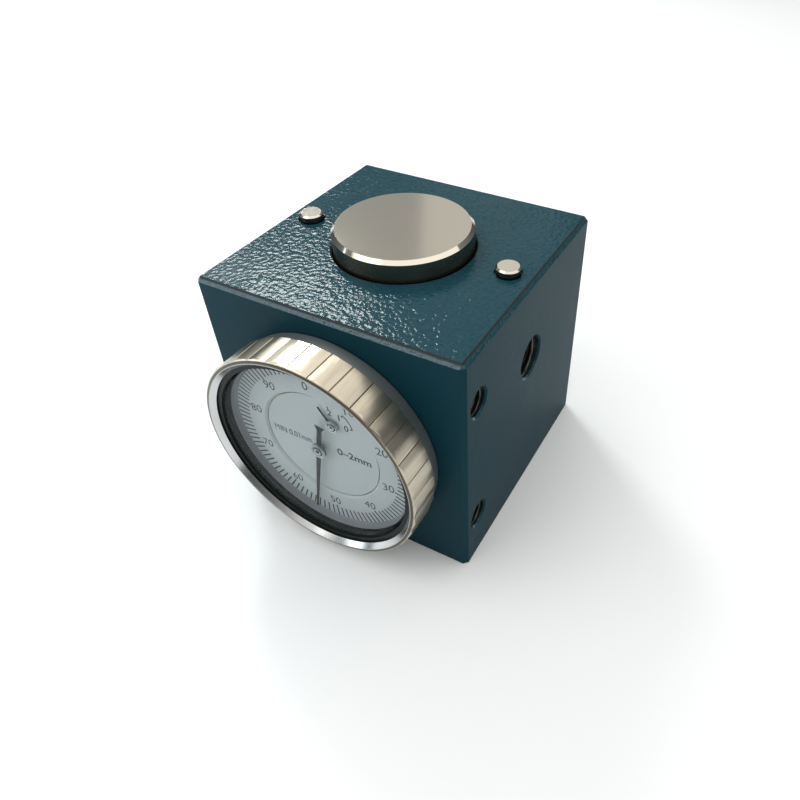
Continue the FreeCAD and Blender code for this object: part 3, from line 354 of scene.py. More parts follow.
class Finish:
    """The nodes that make one material, or the room's light."""

    def __init__(self, owner, coordinates="Object"):
        owner.use_nodes = True
        self.owner = owner
        self.tree = owner.node_tree
        self.tree.nodes.clear()
        self.coordinates = self.node("ShaderNodeTexCoord", {}, {}).outputs[coordinates]

    def node(self, kind, settings, sockets):
        node = self.tree.nodes.new(kind)
        for name, value in settings.items():
            setattr(node, name, value)
        for name, value in sockets.items():
            if isinstance(value, Amount):
                value = value.socket
            if isinstance(value, bpy.types.NodeSocket):
                self.tree.links.new(value, node.inputs[name])
            else:
                node.inputs[name].default_value = value
        return node

    def place(self):
        node = self.node("ShaderNodeSeparateXYZ", {}, {0: self.coordinates})
        return [Amount(self, output) for output in node.outputs]

    def stretched(self, scale, centre=(0.0, 0.0, 0.0), turn=(0.0, 0.0, 0.0)):
        """Object coordinates seen from centre and scaled differently along each axis."""
        sockets = {0: self.coordinates, 1: tuple(centre)}
        moved = self.node("ShaderNodeVectorMath", {"operation": "SUBTRACT"}, sockets)
        sockets = {"Vector": moved.outputs[0], "Rotation": turn, "Scale": scale}
        return self.node("ShaderNodeMapping", {"vector_type": "POINT"}, sockets).outputs[0]

    def radius_from(self, centre):
        """Distance from the line through centre along Y."""
        flat = self.stretched((1.0, 0.0, 1.0), centre)
        length = self.node("ShaderNodeVectorMath", {"operation": "LENGTH"}, {0: flat})
        return Amount(self, length.outputs["Value"])

    def noise(self, size, detail=2.0, roughness=0.5, distortion=0.0, at=None):
        sockets = {
            "Vector": at or self.coordinates,
            "Scale": 1.0 / size,
            "Detail": detail,
            "Roughness": roughness,
            "Distortion": distortion,
        }
        return Amount(self, self.node("ShaderNodeTexNoise", {}, sockets).outputs[0])

    def cells(self, size, smoothness):
        sockets = {"Vector": self.coordinates, "Scale": 1.0 / size, "Smoothness": smoothness}
        node = self.node("ShaderNodeTexVoronoi", {"feature": "SMOOTH_F1"}, sockets)
        return Amount(self, node.outputs["Distance"])

    def blend(self, first, second, factor):
        """A colour between two colours."""
        sockets = {0: factor, 6: rgba(first), 7: rgba(second)}
        return self.node("ShaderNodeMix", {"data_type": "RGBA"}, sockets).outputs[2]

    def bump(self, height, distance, under=None):
        sockets = {"Height": height, "Distance": distance, "Strength": 1.0}
        if under is not None:
            sockets["Normal"] = under
        return self.node("ShaderNodeBump", {}, sockets).outputs[0]

    def coat(self, colour, **values):
        """The material with one principled surface, whose sockets the values name."""
        sockets = {"Base Color": rgba(colour)}
        for name, value in values.items():
            sockets[name.replace("_", " ").title().replace("Ior", "IOR")] = value
        return self.show(self.node("ShaderNodeBsdfPrincipled", {}, sockets))

    def show(self, shader):
        self.node("ShaderNodeOutputMaterial", {}, {"Surface": shader.outputs[0]})
        return self.owner


def new_finish(name):
    return Finish(bpy.data.materials.new(name))


def rgba(colour):
    """A colour's socket as it is, or three numbers with full alpha."""
    return colour if isinstance(colour, bpy.types.NodeSocket) else (*colour, 1.0)


def toned(colour, *shares):
    """A colour with its three channels times three shares, or all of them times one."""
    return tuple(value * share for value, share in zip(colour, shares * 3))


# Finishes
def top_paint(paint):
    """Glossy paint with the wrinkles that it dries into on the top."""
    finish = new_finish("top_paint")
    full = toned(paint.colour, 1.2)
    size = paint.wrinkle_size
    ridges = finish.noise(size, detail=1.4, roughness=0.45, distortion=0.35)
    grains = finish.cells(size * 1.2, smoothness=0.7)
    wrinkles = ridges * 0.7 + (1 - grains) * 0.3
    calm = finish.noise(11 * MM, detail=1.0).between(0.30, 0.62)
    fine = finish.noise(0.2 * MM)
    normal = finish.bump(wrinkles * (calm * 0.35 + 0.65), paint.wrinkle_depth)
    normal = finish.bump(fine, 0.004 * MM, under=normal)
    colour = finish.blend(paint.colour, full, ridges.between(0.3, 0.62))
    return finish.coat(colour, roughness=fine * 0.06 + 0.09, normal=normal, specular_ior_level=0.15)


def side_paint(paint):
    """Smooth satin paint of the sides, with the faint unevenness of a sprayed coat."""
    finish = new_finish("side_paint")
    peel = finish.noise(2.4 * MM, detail=1.0)
    fine = finish.noise(0.25 * MM)
    shade = finish.noise(14 * MM)
    normal = finish.bump(peel, 0.03 * MM)
    normal = finish.bump(fine, 0.003 * MM, under=normal)
    deep = toned(paint.colour, 0.86)
    colour = finish.blend(deep, paint.colour, shade)
    roughness = fine * 0.08 + shade * 0.08 + (paint.roughness - 0.08)
    return finish.coat(colour, roughness=roughness, normal=normal, specular_ior_level=0.055)


def edge_paint(paint):
    """Glossy paint on the top's bevels, finely rippled, with a painted highlight on half of the ripples and
    painted shade darkening the upper border.
    """
    finish = new_finish("edge_paint")
    z = finish.place()[2]
    ripple = finish.noise(0.55 * MM)
    # The upper border is darkened to near black: painted shade where the top's edge rounds over.
    border = z.between(BLOCK_HIGH.z - 0.44 * MM, BLOCK_HIGH.z - 0.22 * MM)
    deep = toned(paint.colour, 0.3)
    # Half of the ripples get a much paler copy of the paint: a painted highlight on the bevel.
    pale = toned(paint.colour, 1.6)
    colour = finish.blend(finish.blend(paint.colour, pale, ripple.between(0.35, 0.65)), deep, border)
    normal = finish.bump(ripple, 0.13 * MM)
    roughness = ripple * 0.08 + border * 0.6 + 0.12
    return finish.coat(colour, roughness=roughness, normal=normal, specular_ior_level=0.6)


def tapped_metal():
    """Metal inside the side's tapped holes, painted nearly black as shade in the holes, in blotches."""
    finish = new_finish("tapped_metal")
    rings = finish.noise(0.3 * MM, at=finish.stretched((1.0, 0.1, 0.1)))
    blotches = finish.noise(1.5 * MM)
    normal = finish.bump(rings, 0.03 * MM)
    # Painted shade: the metal in the holes is painted nearly black.
    colour = finish.blend((0.04, 0.05, 0.045), (0.12, 0.13, 0.12), blotches)
    return finish.coat(colour, metallic=0.9, roughness=blotches * 0.2 + 0.2, normal=normal)


def bare_base():
    finish = new_finish("bare_base")
    lines = finish.noise(0.12 * MM, detail=3.0, at=finish.stretched((1.0, 0.03, 1.0)))
    normal = finish.bump(lines, 0.01 * MM)
    return finish.coat((0.35, 0.35, 0.34), metallic=1.0, roughness=lines * 0.2 + 0.28, normal=normal)


def ground_steel(metal):
    """Straight grinding lines on the anvil's face, a painted highlight on the bevel and painted shade on the
    turned side.
    """
    finish = new_finish("ground_steel")
    z = finish.place()[2]
    grain = finish.noise(0.10 * MM, detail=3.0, at=finish.stretched((1.0, 0.02, 1.0), turn=(0.0, 0.0, 0.6)))
    cloud = finish.noise(6 * MM)
    face = z.between(ANVIL_TOP - 0.06 * MM, ANVIL_TOP - 0.02 * MM)
    side = 1 - z.between(ANVIL_TOP - 0.72 * MM, ANVIL_TOP - 0.62 * MM)
    turning = finish.noise(0.12 * MM, at=finish.stretched((0.03, 0.03, 1.0)))
    normal = finish.bump(grain * face, 0.0010 * MM)
    normal = finish.bump(turning * side, 0.006 * MM, under=normal)
    # The bevel gets a paler copy of the steel's colour, which is a painted highlight, and the side gets a
    # darker, browner copy, which is painted shade.
    bright = tuple(min(1.0, value * 1.35) for value in metal.anvil_colour)
    painted_shade = toned(metal.anvil_colour, 0.60, 0.50, 0.42)
    colour = finish.blend(bright, metal.anvil_colour, face)
    colour = finish.blend(colour, painted_shade, side)
    roughness = grain * face * 0.04 + cloud * 0.02 + 0.085 + side * 0.18
    return finish.coat(colour, metallic=1.0, roughness=roughness, normal=normal)


def polished_steel():
    finish = new_finish("polished_steel")
    marks = finish.noise(0.2 * MM, detail=3.0)
    normal = finish.bump(marks, 0.002 * MM)
    return finish.coat((0.62, 0.585, 0.52), metallic=1.0, roughness=marks * 0.08 + 0.12, normal=normal)


def bezel_metal(metal):
    """Satin plating with brushed lines along the flutes, painted shade in the grooves and a painted
    reflection on the rim.
    """
    finish = new_finish("bezel_metal")
    around = finish.stretched((1.0, 0.035, 1.0), DIAL_AXIS)
    lines = finish.noise(metal.line_spacing, detail=3.0, roughness=0.6, at=around)
    streaks = finish.noise(0.9 * MM, at=finish.stretched((1.0, 0.08, 1.0), DIAL_AXIS))
    radius = finish.radius_from(DIAL_AXIS)
    circles = finish.node("ShaderNodeCombineXYZ", {}, {0: radius, 1: 0.0, 2: 0.0}).outputs[0]
    turned = finish.noise(0.10 * MM, at=circles)
    outside = radius.between(BEZEL_RADIUS - 0.95 * MM, BEZEL_RADIUS - 0.65 * MM)
    # Painted shade: the bottoms of the flutes' grooves are painted nearly black.
    groove_shade = 1 - radius.between(BEZEL_RADIUS - 0.36 * MM, BEZEL_RADIUS - 0.20 * MM)
    height = lines * outside + turned * (1 - outside) * 0.4
    normal = finish.bump(height, 0.005 * MM)
    pale = metal.bezel_colour
    # The rim gets a paler, bluer copy of the plating's colour: a painted reflection.
    rim = toned(pale, 1.0, 1.1, 1.34)
    dull = toned(pale, 0.74, 0.72, 0.68)
    colour = finish.blend(pale, dull, streaks.between(0.35, 0.75) * 0.5 + lines * 0.4)
    colour = finish.blend(rim, colour, outside)
    colour = finish.blend(colour, (0.05, 0.045, 0.04), groove_shade * outside * 0.9)
    roughness = (lines * 0.14 + streaks * 0.06 + 0.02) * outside + turned * 0.04 + 0.17
    return finish.coat(colour, metallic=1.0, roughness=roughness, normal=normal)


def sight_wall(dial):
    """Grey wall inside the bezel, between the crystal and the scale."""
    finish = new_finish("sight_wall")
    cloud = finish.noise(3 * MM)
    fine = finish.noise(0.15 * MM)
    normal = finish.bump(fine, 0.003 * MM)
    # The wall's colour is a darker, bluer copy of the dial's: a painted reflection of the dial, darkened as
    # painted shade.
    pale = toned(dial.face_colour, 0.42, 0.42, 0.46)
    grey = toned(pale, 0.75)
    return finish.coat(finish.blend(pale, grey, cloud), roughness=fine * 0.1 + 0.45, normal=normal)


def case_metal(metal):
    finish = new_finish("case_metal")
    radius = finish.radius_from(DIAL_AXIS)
    y = finish.place()[1]
    turned = finish.node("ShaderNodeCombineXYZ", {}, {0: radius, 1: y, 2: 0.0}).outputs[0]
    lines = finish.noise(0.1 * MM, at=turned)
    cloud = finish.noise(6 * MM)
    normal = finish.bump(lines, 0.004 * MM)
    dull = toned(metal.case_colour, 0.8)
    colour = finish.blend(metal.case_colour, dull, cloud)
    return finish.coat(colour, metallic=0.85, roughness=lines * 0.1 + 0.36, normal=normal)


def machined(name, colour, roughness, grain=0.12 * MM, stretch=(1.0, 0.05, 1.0)):
    """Bright metal with a fine grain along one direction."""
    finish = new_finish(name)
    lines = finish.noise(grain, at=finish.stretched(stretch))
    cloud = finish.noise(4 * MM)
    normal = finish.bump(lines, 0.004 * MM)
    dull = toned(colour, 0.78)
    shaded = finish.blend(colour, dull, cloud * 0.7 + lines * 0.3)
    return finish.coat(shaded, metallic=1.0, roughness=lines * 0.12 + roughness, normal=normal)


def black_screw():
    finish = new_finish("black_screw")
    fine = finish.noise(0.15 * MM, detail=3.0)
    worn = finish.noise(1.2 * MM, detail=3.0).between(0.62, 0.8)
    normal = finish.bump(fine, 0.01 * MM)
    colour = finish.blend((0.025, 0.027, 0.03), (0.16, 0.16, 0.155), worn)
    return finish.coat(colour, metallic=0.8, roughness=fine * 0.2 + 0.28, normal=normal)


def dial_face(dial):
    finish = new_finish("dial_face")
    fine = finish.noise(0.12 * MM)
    cloud = finish.noise(8 * MM, detail=1.0)
    normal = finish.bump(fine, 0.002 * MM)
    shade = toned(dial.face_colour, 0.93)
    colour = finish.blend(dial.face_colour, shade, cloud)
    return finish.coat(colour, roughness=fine * 0.1 + 0.5, normal=normal, specular_ior_level=0.4)


def dial_ink(dial):
    finish = new_finish("dial_ink")
    fine = finish.noise(0.1 * MM)
    faded = tuple(value * 2.2 + 0.01 for value in dial.ink_colour)
    colour = finish.blend(dial.ink_colour, faded, fine)
    return finish.coat(colour, roughness=fine * 0.2 + 0.4)


def hand_black():
    finish = new_finish("hand_black")
    fine = finish.noise(0.1 * MM)
    colour = finish.blend((0.006, 0.007, 0.009), (0.016, 0.018, 0.022), fine)
    normal = finish.bump(fine, 0.002 * MM)
    return finish.coat(colour, roughness=fine * 0.1 + 0.45, normal=normal, specular_ior_level=0.2)


def gasket_rubber():
    finish = new_finish("gasket_rubber")
    fine = finish.noise(0.2 * MM, detail=3.0)
    normal = finish.bump(fine, 0.004 * MM)
    colour = finish.blend((0.002, 0.005, 0.004), (0.005, 0.010, 0.009), fine)
    return finish.coat(colour, roughness=fine * 0.15 + 0.3, normal=normal, specular_ior_level=0.15)


def crystal_glass():
    finish = new_finish("crystal_glass")
    clear = finish.node("ShaderNodeBsdfTransparent", {}, {"Color": (0.93, 0.955, 0.955, 1.0)})
    smudges = finish.noise(3 * MM, detail=3.0).between(0.45, 0.9)
    sockets = {"Base Color": (0.9, 0.92, 0.92, 1.0), "Metallic": 1.0, "Roughness": smudges * 0.08 + 0.02}
    gloss = finish.node("ShaderNodeBsdfPrincipled", {}, sockets)
    tilt = Amount(finish, finish.node("ShaderNodeLayerWeight", {}, {"Blend": 0.5}).outputs["Facing"])
    share = tilt**5 * 0.4 + 0.01
    mix = finish.node("ShaderNodeMixShader", {}, {0: share, 1: clear.outputs[0], 2: gloss.outputs[0]})
    return finish.show(mix)


def pale_floor(stage):
    finish = new_finish("pale_floor")
    cloud = finish.noise(120 * MM)
    shade = toned(stage.floor_colour, 0.97)
    colour = finish.blend(stage.floor_colour, shade, cloud)
    return finish.coat(colour, roughness=0.7, specular_ior_level=0.2)


def soft_room():
    """A dim room that is a little brighter towards the ceiling."""
    finish = Finish(bpy.data.worlds.new("soft_room"), "Generated")
    z = finish.place()[2]
    high = z.between(0.0, 0.8)
    colour = finish.blend((0.10, 0.105, 0.11), (0.30, 0.30, 0.29), high)
    background = finish.node("ShaderNodeBackground", {}, {"Color": colour, "Strength": 1.0})
    finish.node("ShaderNodeOutputWorld", {}, {"Surface": background.outputs[0]})
    return finish.owner


# Work on pieces
def choose(*pieces):
    bpy.ops.object.select_all(action="DESELECT")
    for piece in pieces:
        piece.select_set(True)
    bpy.context.view_layer.objects.active = pieces[0]


def apply_place():
    """Takes the place, turn and scale of what is selected over into its mesh."""
    bpy.ops.object.transform_apply(location=True, rotation=True, scale=True)


def start_edit():
    """Goes into edit mode with all of the mesh selected."""
    bpy.ops.object.mode_set(mode="EDIT")
    bpy.ops.mesh.select_all(action="SELECT")


def end_edit():
    bpy.ops.object.mode_set(mode="OBJECT")


def spin_clockwise(steps, sweep, copies=False):
    """Spins what is selected around the origin, clockwise for someone who looks along +Y."""
    bpy.ops.mesh.spin(steps=steps, dupli=copies, angle=-sweep, center=(0.0, 0.0, 0.0), axis=(0.0, 1.0, 0.0))


def face_outwards():
    bpy.ops.mesh.select_all(action="SELECT")
    bpy.ops.mesh.normals_make_consistent(inside=False)


def dress(node, material):
    """Gives a CAD node a finish and leaves its shape alone."""
    mesh = frame["nodes"][node].data
    mesh.materials.clear()
    mesh.materials.append(material)


def smooth_copy(node, material):
    """A merged copy of a CAD node with smooth shading on its round faces, which stands for the node."""
    choose(frame["nodes"][node])
    bpy.ops.object.duplicate()
    piece = bpy.context.object
    piece.name = node + "_finish"
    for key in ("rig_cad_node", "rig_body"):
        del piece[key]
    piece.data.materials.clear()
    piece.data.materials.append(material)
    start_edit()
    bpy.ops.mesh.remove_doubles(threshold=MERGE_DISTANCE)
    bpy.ops.mesh.customdata_custom_splitnormals_clear()
    end_edit()
    bpy.ops.object.shade_smooth_by_angle(angle=math.radians(24))
    even = piece.modifiers.new("even_faces", "WEIGHTED_NORMAL")
    even.keep_sharp = True
    bpy.ops.object.modifier_apply(modifier=even.name)
    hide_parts(node)
    return settle(piece, BODY_OF[node])


def settle(piece, body):
    """Says which body a finished piece moves with."""
    piece.parent = None
    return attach(piece, body)


def second_finish(piece, material, chosen):
    """Gives another finish to the faces of a piece that a test on their middle and normal picks."""
    piece.data.materials.append(material)
    place = len(piece.data.materials) - 1
    for face in piece.data.polygons:
        if chosen(face.center, face.normal):
            face.material_index = place


def choose_front(piece, border=False):
    """In edit mode, picks the round face that looks along -Y, or its border."""
    bpy.ops.mesh.select_all(action="DESELECT")
    edit = bmesh.from_edit_mesh(piece.data)
    front = [face for face in edit.faces if face.normal.y < -0.99]
    disc = min(front, key=lambda face: (face.calc_center_median().xz.length, -face.calc_area()))
    for chosen in disc.edges if border else [disc]:
        chosen.select_set(True)
    bmesh.update_edit_mesh(piece.data)


def put_on_dial(piece, axis, layer, turn=0.0, offset=(0.0, 0.0)):
    """Moves a piece that was made around the origin, facing -Y, to its place on the dial."""
    choose(piece)
    piece.rotation_euler = (0.0, turn, 0.0)
    piece.location = (axis.x + offset[0], layer, axis.z + offset[1])
    apply_place()


def clockwise(radius, angle):
    """How far to the right and up a place lies, at an angle clockwise from straight up."""
    return radius * math.sin(angle), radius * math.cos(angle)


def from_axis(middle, axis):
    """The line from the dial's or the small hand's axis to a place."""
    return Vector((middle.x - axis.x, 0.0, middle.z - axis.z))


def joined(name, pieces, material):
    choose(*pieces)
    bpy.ops.object.join()
    piece = bpy.context.object
    piece.name = name
    piece.data.name = name
    piece.data.materials.append(material)
    return piece


def radial_marks(inner, outer, width, step, count):
    """Thin marks around the origin, the first one straight up and the others clockwise, step apart."""
    bpy.ops.mesh.primitive_cube_add(size=1.0, location=(0.0, INK_MIDDLE, (inner + outer) / 2))
    marks = bpy.context.object
    marks.scale = (width, INK_THICKNESS, outer - inner)
    apply_place()
    start_edit()
    bpy.ops.mesh.bevel(offset=INK_THICKNESS * 0.3, segments=1, affect="EDGES")
    bpy.ops.mesh.select_all(action="SELECT")
    spin_clockwise(count - 1, step * (count - 1), copies=True)
    end_edit()
    return marks


def ring_mark(radius, width, start, sweep):
    """A thin arc around the origin that starts clockwise of straight up and sweeps on clockwise."""
    bpy.ops.mesh.primitive_plane_add(
        size=1.0, location=(0.0, INK_MIDDLE, radius), rotation=(0.0, math.pi / 2, 0.0)
    )
    arc = bpy.context.object
    arc.scale = (width, INK_THICKNESS, 1.0)
    apply_place()
    start_edit()
    spin_clockwise(ARC_STEPS, sweep)
    bpy.ops.mesh.select_all(action="SELECT")
    bpy.ops.mesh.remove_doubles(threshold=MERGE_DISTANCE)
    face_outwards()
    end_edit()
    arc.rotation_euler = (0.0, start, 0.0)
    apply_place()
    return arc


def lettering(words, height, weight=0.0, narrow=1.0):
    """Flat letters as a mesh around the origin, facing -Y, with capitals of the given height."""
    bpy.ops.object.text_add(location=(0.0, 0.0, 0.0))
    text = bpy.context.object.data
    text.body = words
    text.align_x = "CENTER"
    text.align_y = "CENTER"
    text.extrude = 0.5
    text.offset = weight
    text.resolution_u = 4
    text.size = 1.0
    bpy.ops.object.convert(target="MESH")
    piece = bpy.context.object
    across = [vertex.co.x for vertex in piece.data.vertices]
    middle = (min(across) + max(across)) / 2
    growth = height / DIGIT_HEIGHT
    piece.scale = (narrow * growth, growth, INK_THICKNESS)
    piece.rotation_euler = (math.pi / 2, 0.0, 0.0)
    piece.location = (-middle * narrow * growth, INK_MIDDLE, 0.0)
    apply_place()
    return piece


def side_holes():
    """The middle's Y and Z and the radius of the three tapped holes, from the screws that stand in them."""
    low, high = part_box("guide_screw")
    holes = [((low.y + high.y) / 2, (low.z + high.z) / 2, (high.z - low.z) / 2)]
    low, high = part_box("case_set_screws")
    radius = (high.y - low.y) / 2
    holes += [((low.y + high.y) / 2, z, radius) for z in (high.z - radius, low.z + radius)]
    return holes


def thread_ridge(radius, pitch, length):
    """A helical ridge that stands inwards from a hole's wall, around the X axis."""
    height = pitch * 0.55
    # The section starts as a triangle of radius 1, which is 1.5 high with its middle a third up
    middle = radius + THREAD_SINK - height / 3
    bpy.ops.mesh.primitive_circle_add(
        vertices=3, radius=1.0, location=(0.0, 0.0, middle), rotation=(-math.pi / 2, 0.0, 0.0)
    )
    ridge = bpy.context.object
    ridge.scale = (pitch * 0.5, height / 1.5, 1.0)
    apply_place()
    turns = length / pitch
    screw = ridge.modifiers.new("turns", "SCREW")
    screw.axis = "X"
    screw.angle = 2 * math.pi * turns
    screw.screw_offset = -length
    screw.steps = round(THREAD_STEPS * turns)
    screw.render_steps = screw.steps
    bpy.ops.object.modifier_apply(modifier=screw.name)
    bpy.ops.object.mode_set(mode="EDIT")
    bpy.ops.mesh.select_all(action="DESELECT")
    bpy.ops.mesh.select_non_manifold()
    bpy.ops.mesh.edge_face_add()
    face_outwards()
    end_edit()
    return ridge


def thin_ends(piece, radius, sweep):
    """Draws the sections of a spun arc in towards its middle line, more and more towards both ends."""
    edit = bmesh.new()
    edit.from_mesh(piece.data)
    for vertex in edit.verts:
        angle = math.atan2(vertex.co.x, vertex.co.z)
        share = math.sin(math.pi * min(max(angle / sweep, 0.03), 0.97)) ** 0.7
        right, up = clockwise(radius, angle)
        line = Vector((right, vertex.co.y, up))
        vertex.co = line + (vertex.co - line) * share
    edit.to_mesh(piece.data)
    edit.free()


# Light
def panel(name, place, target, width, height, brightness, colour):
    """A soft rectangular light that faces a target. Its brightness is what a mirror of it would show."""
    bpy.ops.object.light_add(type="AREA", location=place)
    light = bpy.context.object
    light.name = name
    light.data.shape = "RECTANGLE"
    light.data.size = width
    light.data.size_y = height
    light.data.energy = brightness * math.pi * width * height
    light.data.color = colour
    direction = Vector(target) - light.location
    light.rotation_euler = direction.to_track_quat("-Z", "Y").to_euler()


def towards(heading, height, distance):
    """A place seen from the block's top, by its heading from +X and its height angle in degrees."""
    heading = math.radians(heading)
    height = math.radians(height)
    flat = math.cos(height)
    line = Vector((flat * math.cos(heading), flat * math.sin(heading), math.sin(height)))
    return BLOCK_TOP + line * distance


# Operators, one for each piece or group of like pieces
class DressBlock(bpy.types.Operator):
    """Paints the block, with wrinkles on its top and a smooth coat on its sides"""

    bl_idname = "setter.dress_block"
    bl_label = "Block"

    def execute(self, context):
        paint = context.scene.setter_paint
        block = smooth_copy("body_block", side_paint(paint))
        second_finish(block, top_paint(paint), lambda middle, normal: normal.z > 0.9)
        second_finish(block, edge_paint(paint), lambda middle, normal: 0.5 < normal.z < 0.9)
        second_finish(block, bare_base(), lambda middle, normal: middle.z < 0.05 * MM)

        def in_side_hole(middle, normal):
            for y, z, radius in side_holes():
                if math.hypot(middle.y - y, middle.z - z) < radius + HOLE_MARGIN:
                    return middle.x > BLOCK_HIGH.x / 2 and abs(normal.x) < 0.5
            return False

        second_finish(block, tapped_metal(), in_side_hole)
        return {"FINISHED"}


class DressAnvil(bpy.types.Operator):
    """Gives the anvil its ground steel and the datum pins their polish"""

    bl_idname = "setter.dress_anvil"
    bl_label = "Anvil and pins"

    def execute(self, context):
        smooth_copy("anvil", ground_steel(context.scene.setter_metal))
        pin_finish = polished_steel()
        # The pins' sides get a dark copy of the pin steel: a painted reflection of the dark paint around
        # them.
        wall_reflection_finish = machined("pin_wall_reflection", (0.17, 0.16, 0.14), 0.22, stretch=(0.05, 0.05, 1.0))
        for node in ("datum_pin_left", "datum_pin_right"):
            pin = smooth_copy(node, pin_finish)
            second_finish(pin, wall_reflection_finish, lambda middle, normal: abs(normal.z) < 0.2)
        return {"FINISHED"}


class DressBezel(bpy.types.Operator):
    """Gives the fluted bezel, the case behind it and the gasket their finishes"""

    bl_idname = "setter.dress_bezel"
    bl_label = "Bezel and case"

    def execute(self, context):
        metal = context.scene.setter_metal
        bezel = smooth_copy("bezel", bezel_metal(metal))

        def inside_sight(middle, normal):
            across = from_axis(middle, DIAL_AXIS)
            return middle.y > WALL_FRONT and across.length < WALL_RADIUS and normal.dot(across) < 0

        def behind_rim(middle, normal):
            across = from_axis(middle, DIAL_AXIS)
            return middle.y <= WALL_FRONT and normal.dot(across) < -0.9 * across.length

        rubber = gasket_rubber()
        second_finish(bezel, sight_wall(context.scene.setter_dial), inside_sight)
        second_finish(bezel, rubber, behind_rim)
        smooth_copy("dial_case", case_metal(metal))
        smooth_copy("gasket", rubber)
        smooth_copy("crystal", crystal_glass())
        return {"FINISHED"}


class DressScrews(bpy.types.Operator):
    """Gives the screws in the side and in the rack's bracket their black finish"""

    bl_idname = "setter.dress_screws"
    bl_label = "Black screws"

    def execute(self, context):
        finish = black_screw()
        for node in ("guide_screw", "case_set_screws", "bracket_screws"):
            smooth_copy(node, finish)
        return {"FINISHED"}


class MakeThreads(bpy.types.Operator):
    """Puts the thread's ridges into the mouths of the three tapped holes"""

    bl_idname = "setter.make_threads"
    bl_label = "Threads"

    def execute(self, context):
        threads = (
            ("guide_hole_thread", "guide_screw", 1.25),
            ("upper_hole_thread", "case_set_screws", 0.8),
            ("lower_hole_thread", "case_set_screws", 0.8),
        )
        for (name, node, pitch), (y, z, radius) in zip(threads, side_holes()):
            outer = BLOCK_HIGH.x - THREAD_START
            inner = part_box(node)[1].x + THREAD_END_GAP
            ridge = thread_ridge(radius, pitch * MM, outer - inner)
            ridge.name = name
            ridge.data.name = name
            ridge.data.materials.append(bpy.data.materials["tapped_metal"])
            ridge.location = (outer, y, z)
            apply_place()
            settle(ridge, BODY_OF["body_block"])
        return {"FINISHED"}


class MakeGasketLip(bpy.types.Operator):
    """Adds the short sliver of the gasket that has crept out over the crystal"""

    bl_idname = "setter.make_gasket_lip"
    bl_label = "Gasket lip"

    def execute(self, context):
        across = (0.0, math.pi / 2, 0.0)
        bpy.ops.mesh.primitive_circle_add(vertices=10, radius=1.0, fill_type="NGON", rotation=across)
        lip = bpy.context.object
        lip.name = "gasket_lip"
        lip.data.name = "gasket_lip"
        lip.scale = (LIP_WIDTH / 2, LIP_DEPTH / 2, 1.0)
        lip.location = (0.0, front_of("crystal") - LIP_LIFT, LIP_RADIUS)
        apply_place()
        start_edit()
        spin_clockwise(LIP_STEPS, LIP_SWEEP)
        face_outwards()
        end_edit()
        thin_ends(lip, LIP_RADIUS, LIP_SWEEP)
        put_on_dial(lip, DIAL_AXIS, 0.0, LIP_START)
        bpy.ops.object.shade_smooth_by_angle(angle=math.radians(50))
        lip.data.materials.append(bpy.data.materials["gasket_rubber"])
        settle(lip, BODY_OF["gasket"])
        return {"FINISHED"}


class MakeScale(bpy.types.Operator):
    """Puts a hundred marks and the numerals from 0 to 90 on the turning scale"""

    bl_idname = "setter.make_scale"
    bl_label = "Scale"

    def execute(self, context):
        dial = context.scene.setter_dial
        smooth_copy("scale_ring", dial_face(dial))
        ink = dial_ink(dial)
        outer = dial.mark_outer
        inner = outer - MARK_LENGTH
        marks = [
            radial_marks(inner, outer, dial.mark_width, MARK_STEP, 100),
            radial_marks(outer - TENTH_MARK_LENGTH, inner, dial.mark_width, 10 * MARK_STEP, 10),
        ]
        ring = joined("scale_marks", marks, ink)
        put_on_dial(ring, DIAL_AXIS, SCALE_FACE, dial.turn)
        settle(ring, "bezel_group")
        numerals = []
        for number in range(0, 100, 10):
            numeral = lettering(str(number), dial.numeral_height)
            offset = clockwise(dial.numeral_radius, dial.turn + MARK_STEP * number)
            put_on_dial(numeral, DIAL_AXIS, SCALE_FACE, dial.turn, offset)
            numerals.append(numeral)
        settle(joined("scale_numerals", numerals, ink), "bezel_group")
        return {"FINISHED"}


class MakeSmallDial(bpy.types.Operator):
    """Puts the millimetre marks and the two captions on the fixed middle of the dial"""

    bl_idname = "setter.make_small_dial"
    bl_label = "Small dial"

    def execute(self, context):
        dial = context.scene.setter_dial
        smooth_copy("inner_dial", dial_face(dial))
        ink = dial_ink(dial)
        ticks = radial_marks(3.35 * MM, 3.95 * MM, 0.26 * MM, MILLIMETRE_STEP, 3)
        arc = ring_mark(3.84 * MM, 0.24 * MM, MILLIMETRE_STEP, MILLIMETRE_STEP)
        marks = joined("millimetre_marks", [ticks, arc], ink)
        put_on_dial(marks, SUB_AXIS, INNER_FACE, math.radians(-10))
        settle(marks, "setter_block")
        words = []
        for number, angle in ((2, -9), (1, 33), (0, 84)):
            numeral = lettering(str(number), 1.35 * MM, CAPTION_WEIGHT)
            put_on_dial(numeral, SUB_AXIS, INNER_FACE, 0.0, clockwise(2.6 * MM, math.radians(angle)))
            words.append(numeral)
        # The M stands alone, because extra weight fills it in
        captions = (
            ("0–2mm", 1.6 * MM, CAPTION_WEIGHT, 1.06, 6.6 * MM),
            ("M", 1.45 * MM, 0.0, 0.77, -9.8 * MM),
            ("IN 0.01mm", 1.45 * MM, 0.01, 0.77, -5.66 * MM),
        )
        for caption, height, weight, narrow, centre in captions:
            line = lettering(caption, height, weight, narrow)
            put_on_dial(line, DIAL_AXIS, INNER_FACE, 0.0, (centre, CAPTION_RISE))
            words.append(line)
        settle(joined("small_dial_words", words, ink), "setter_block")
        return {"FINISHED"}


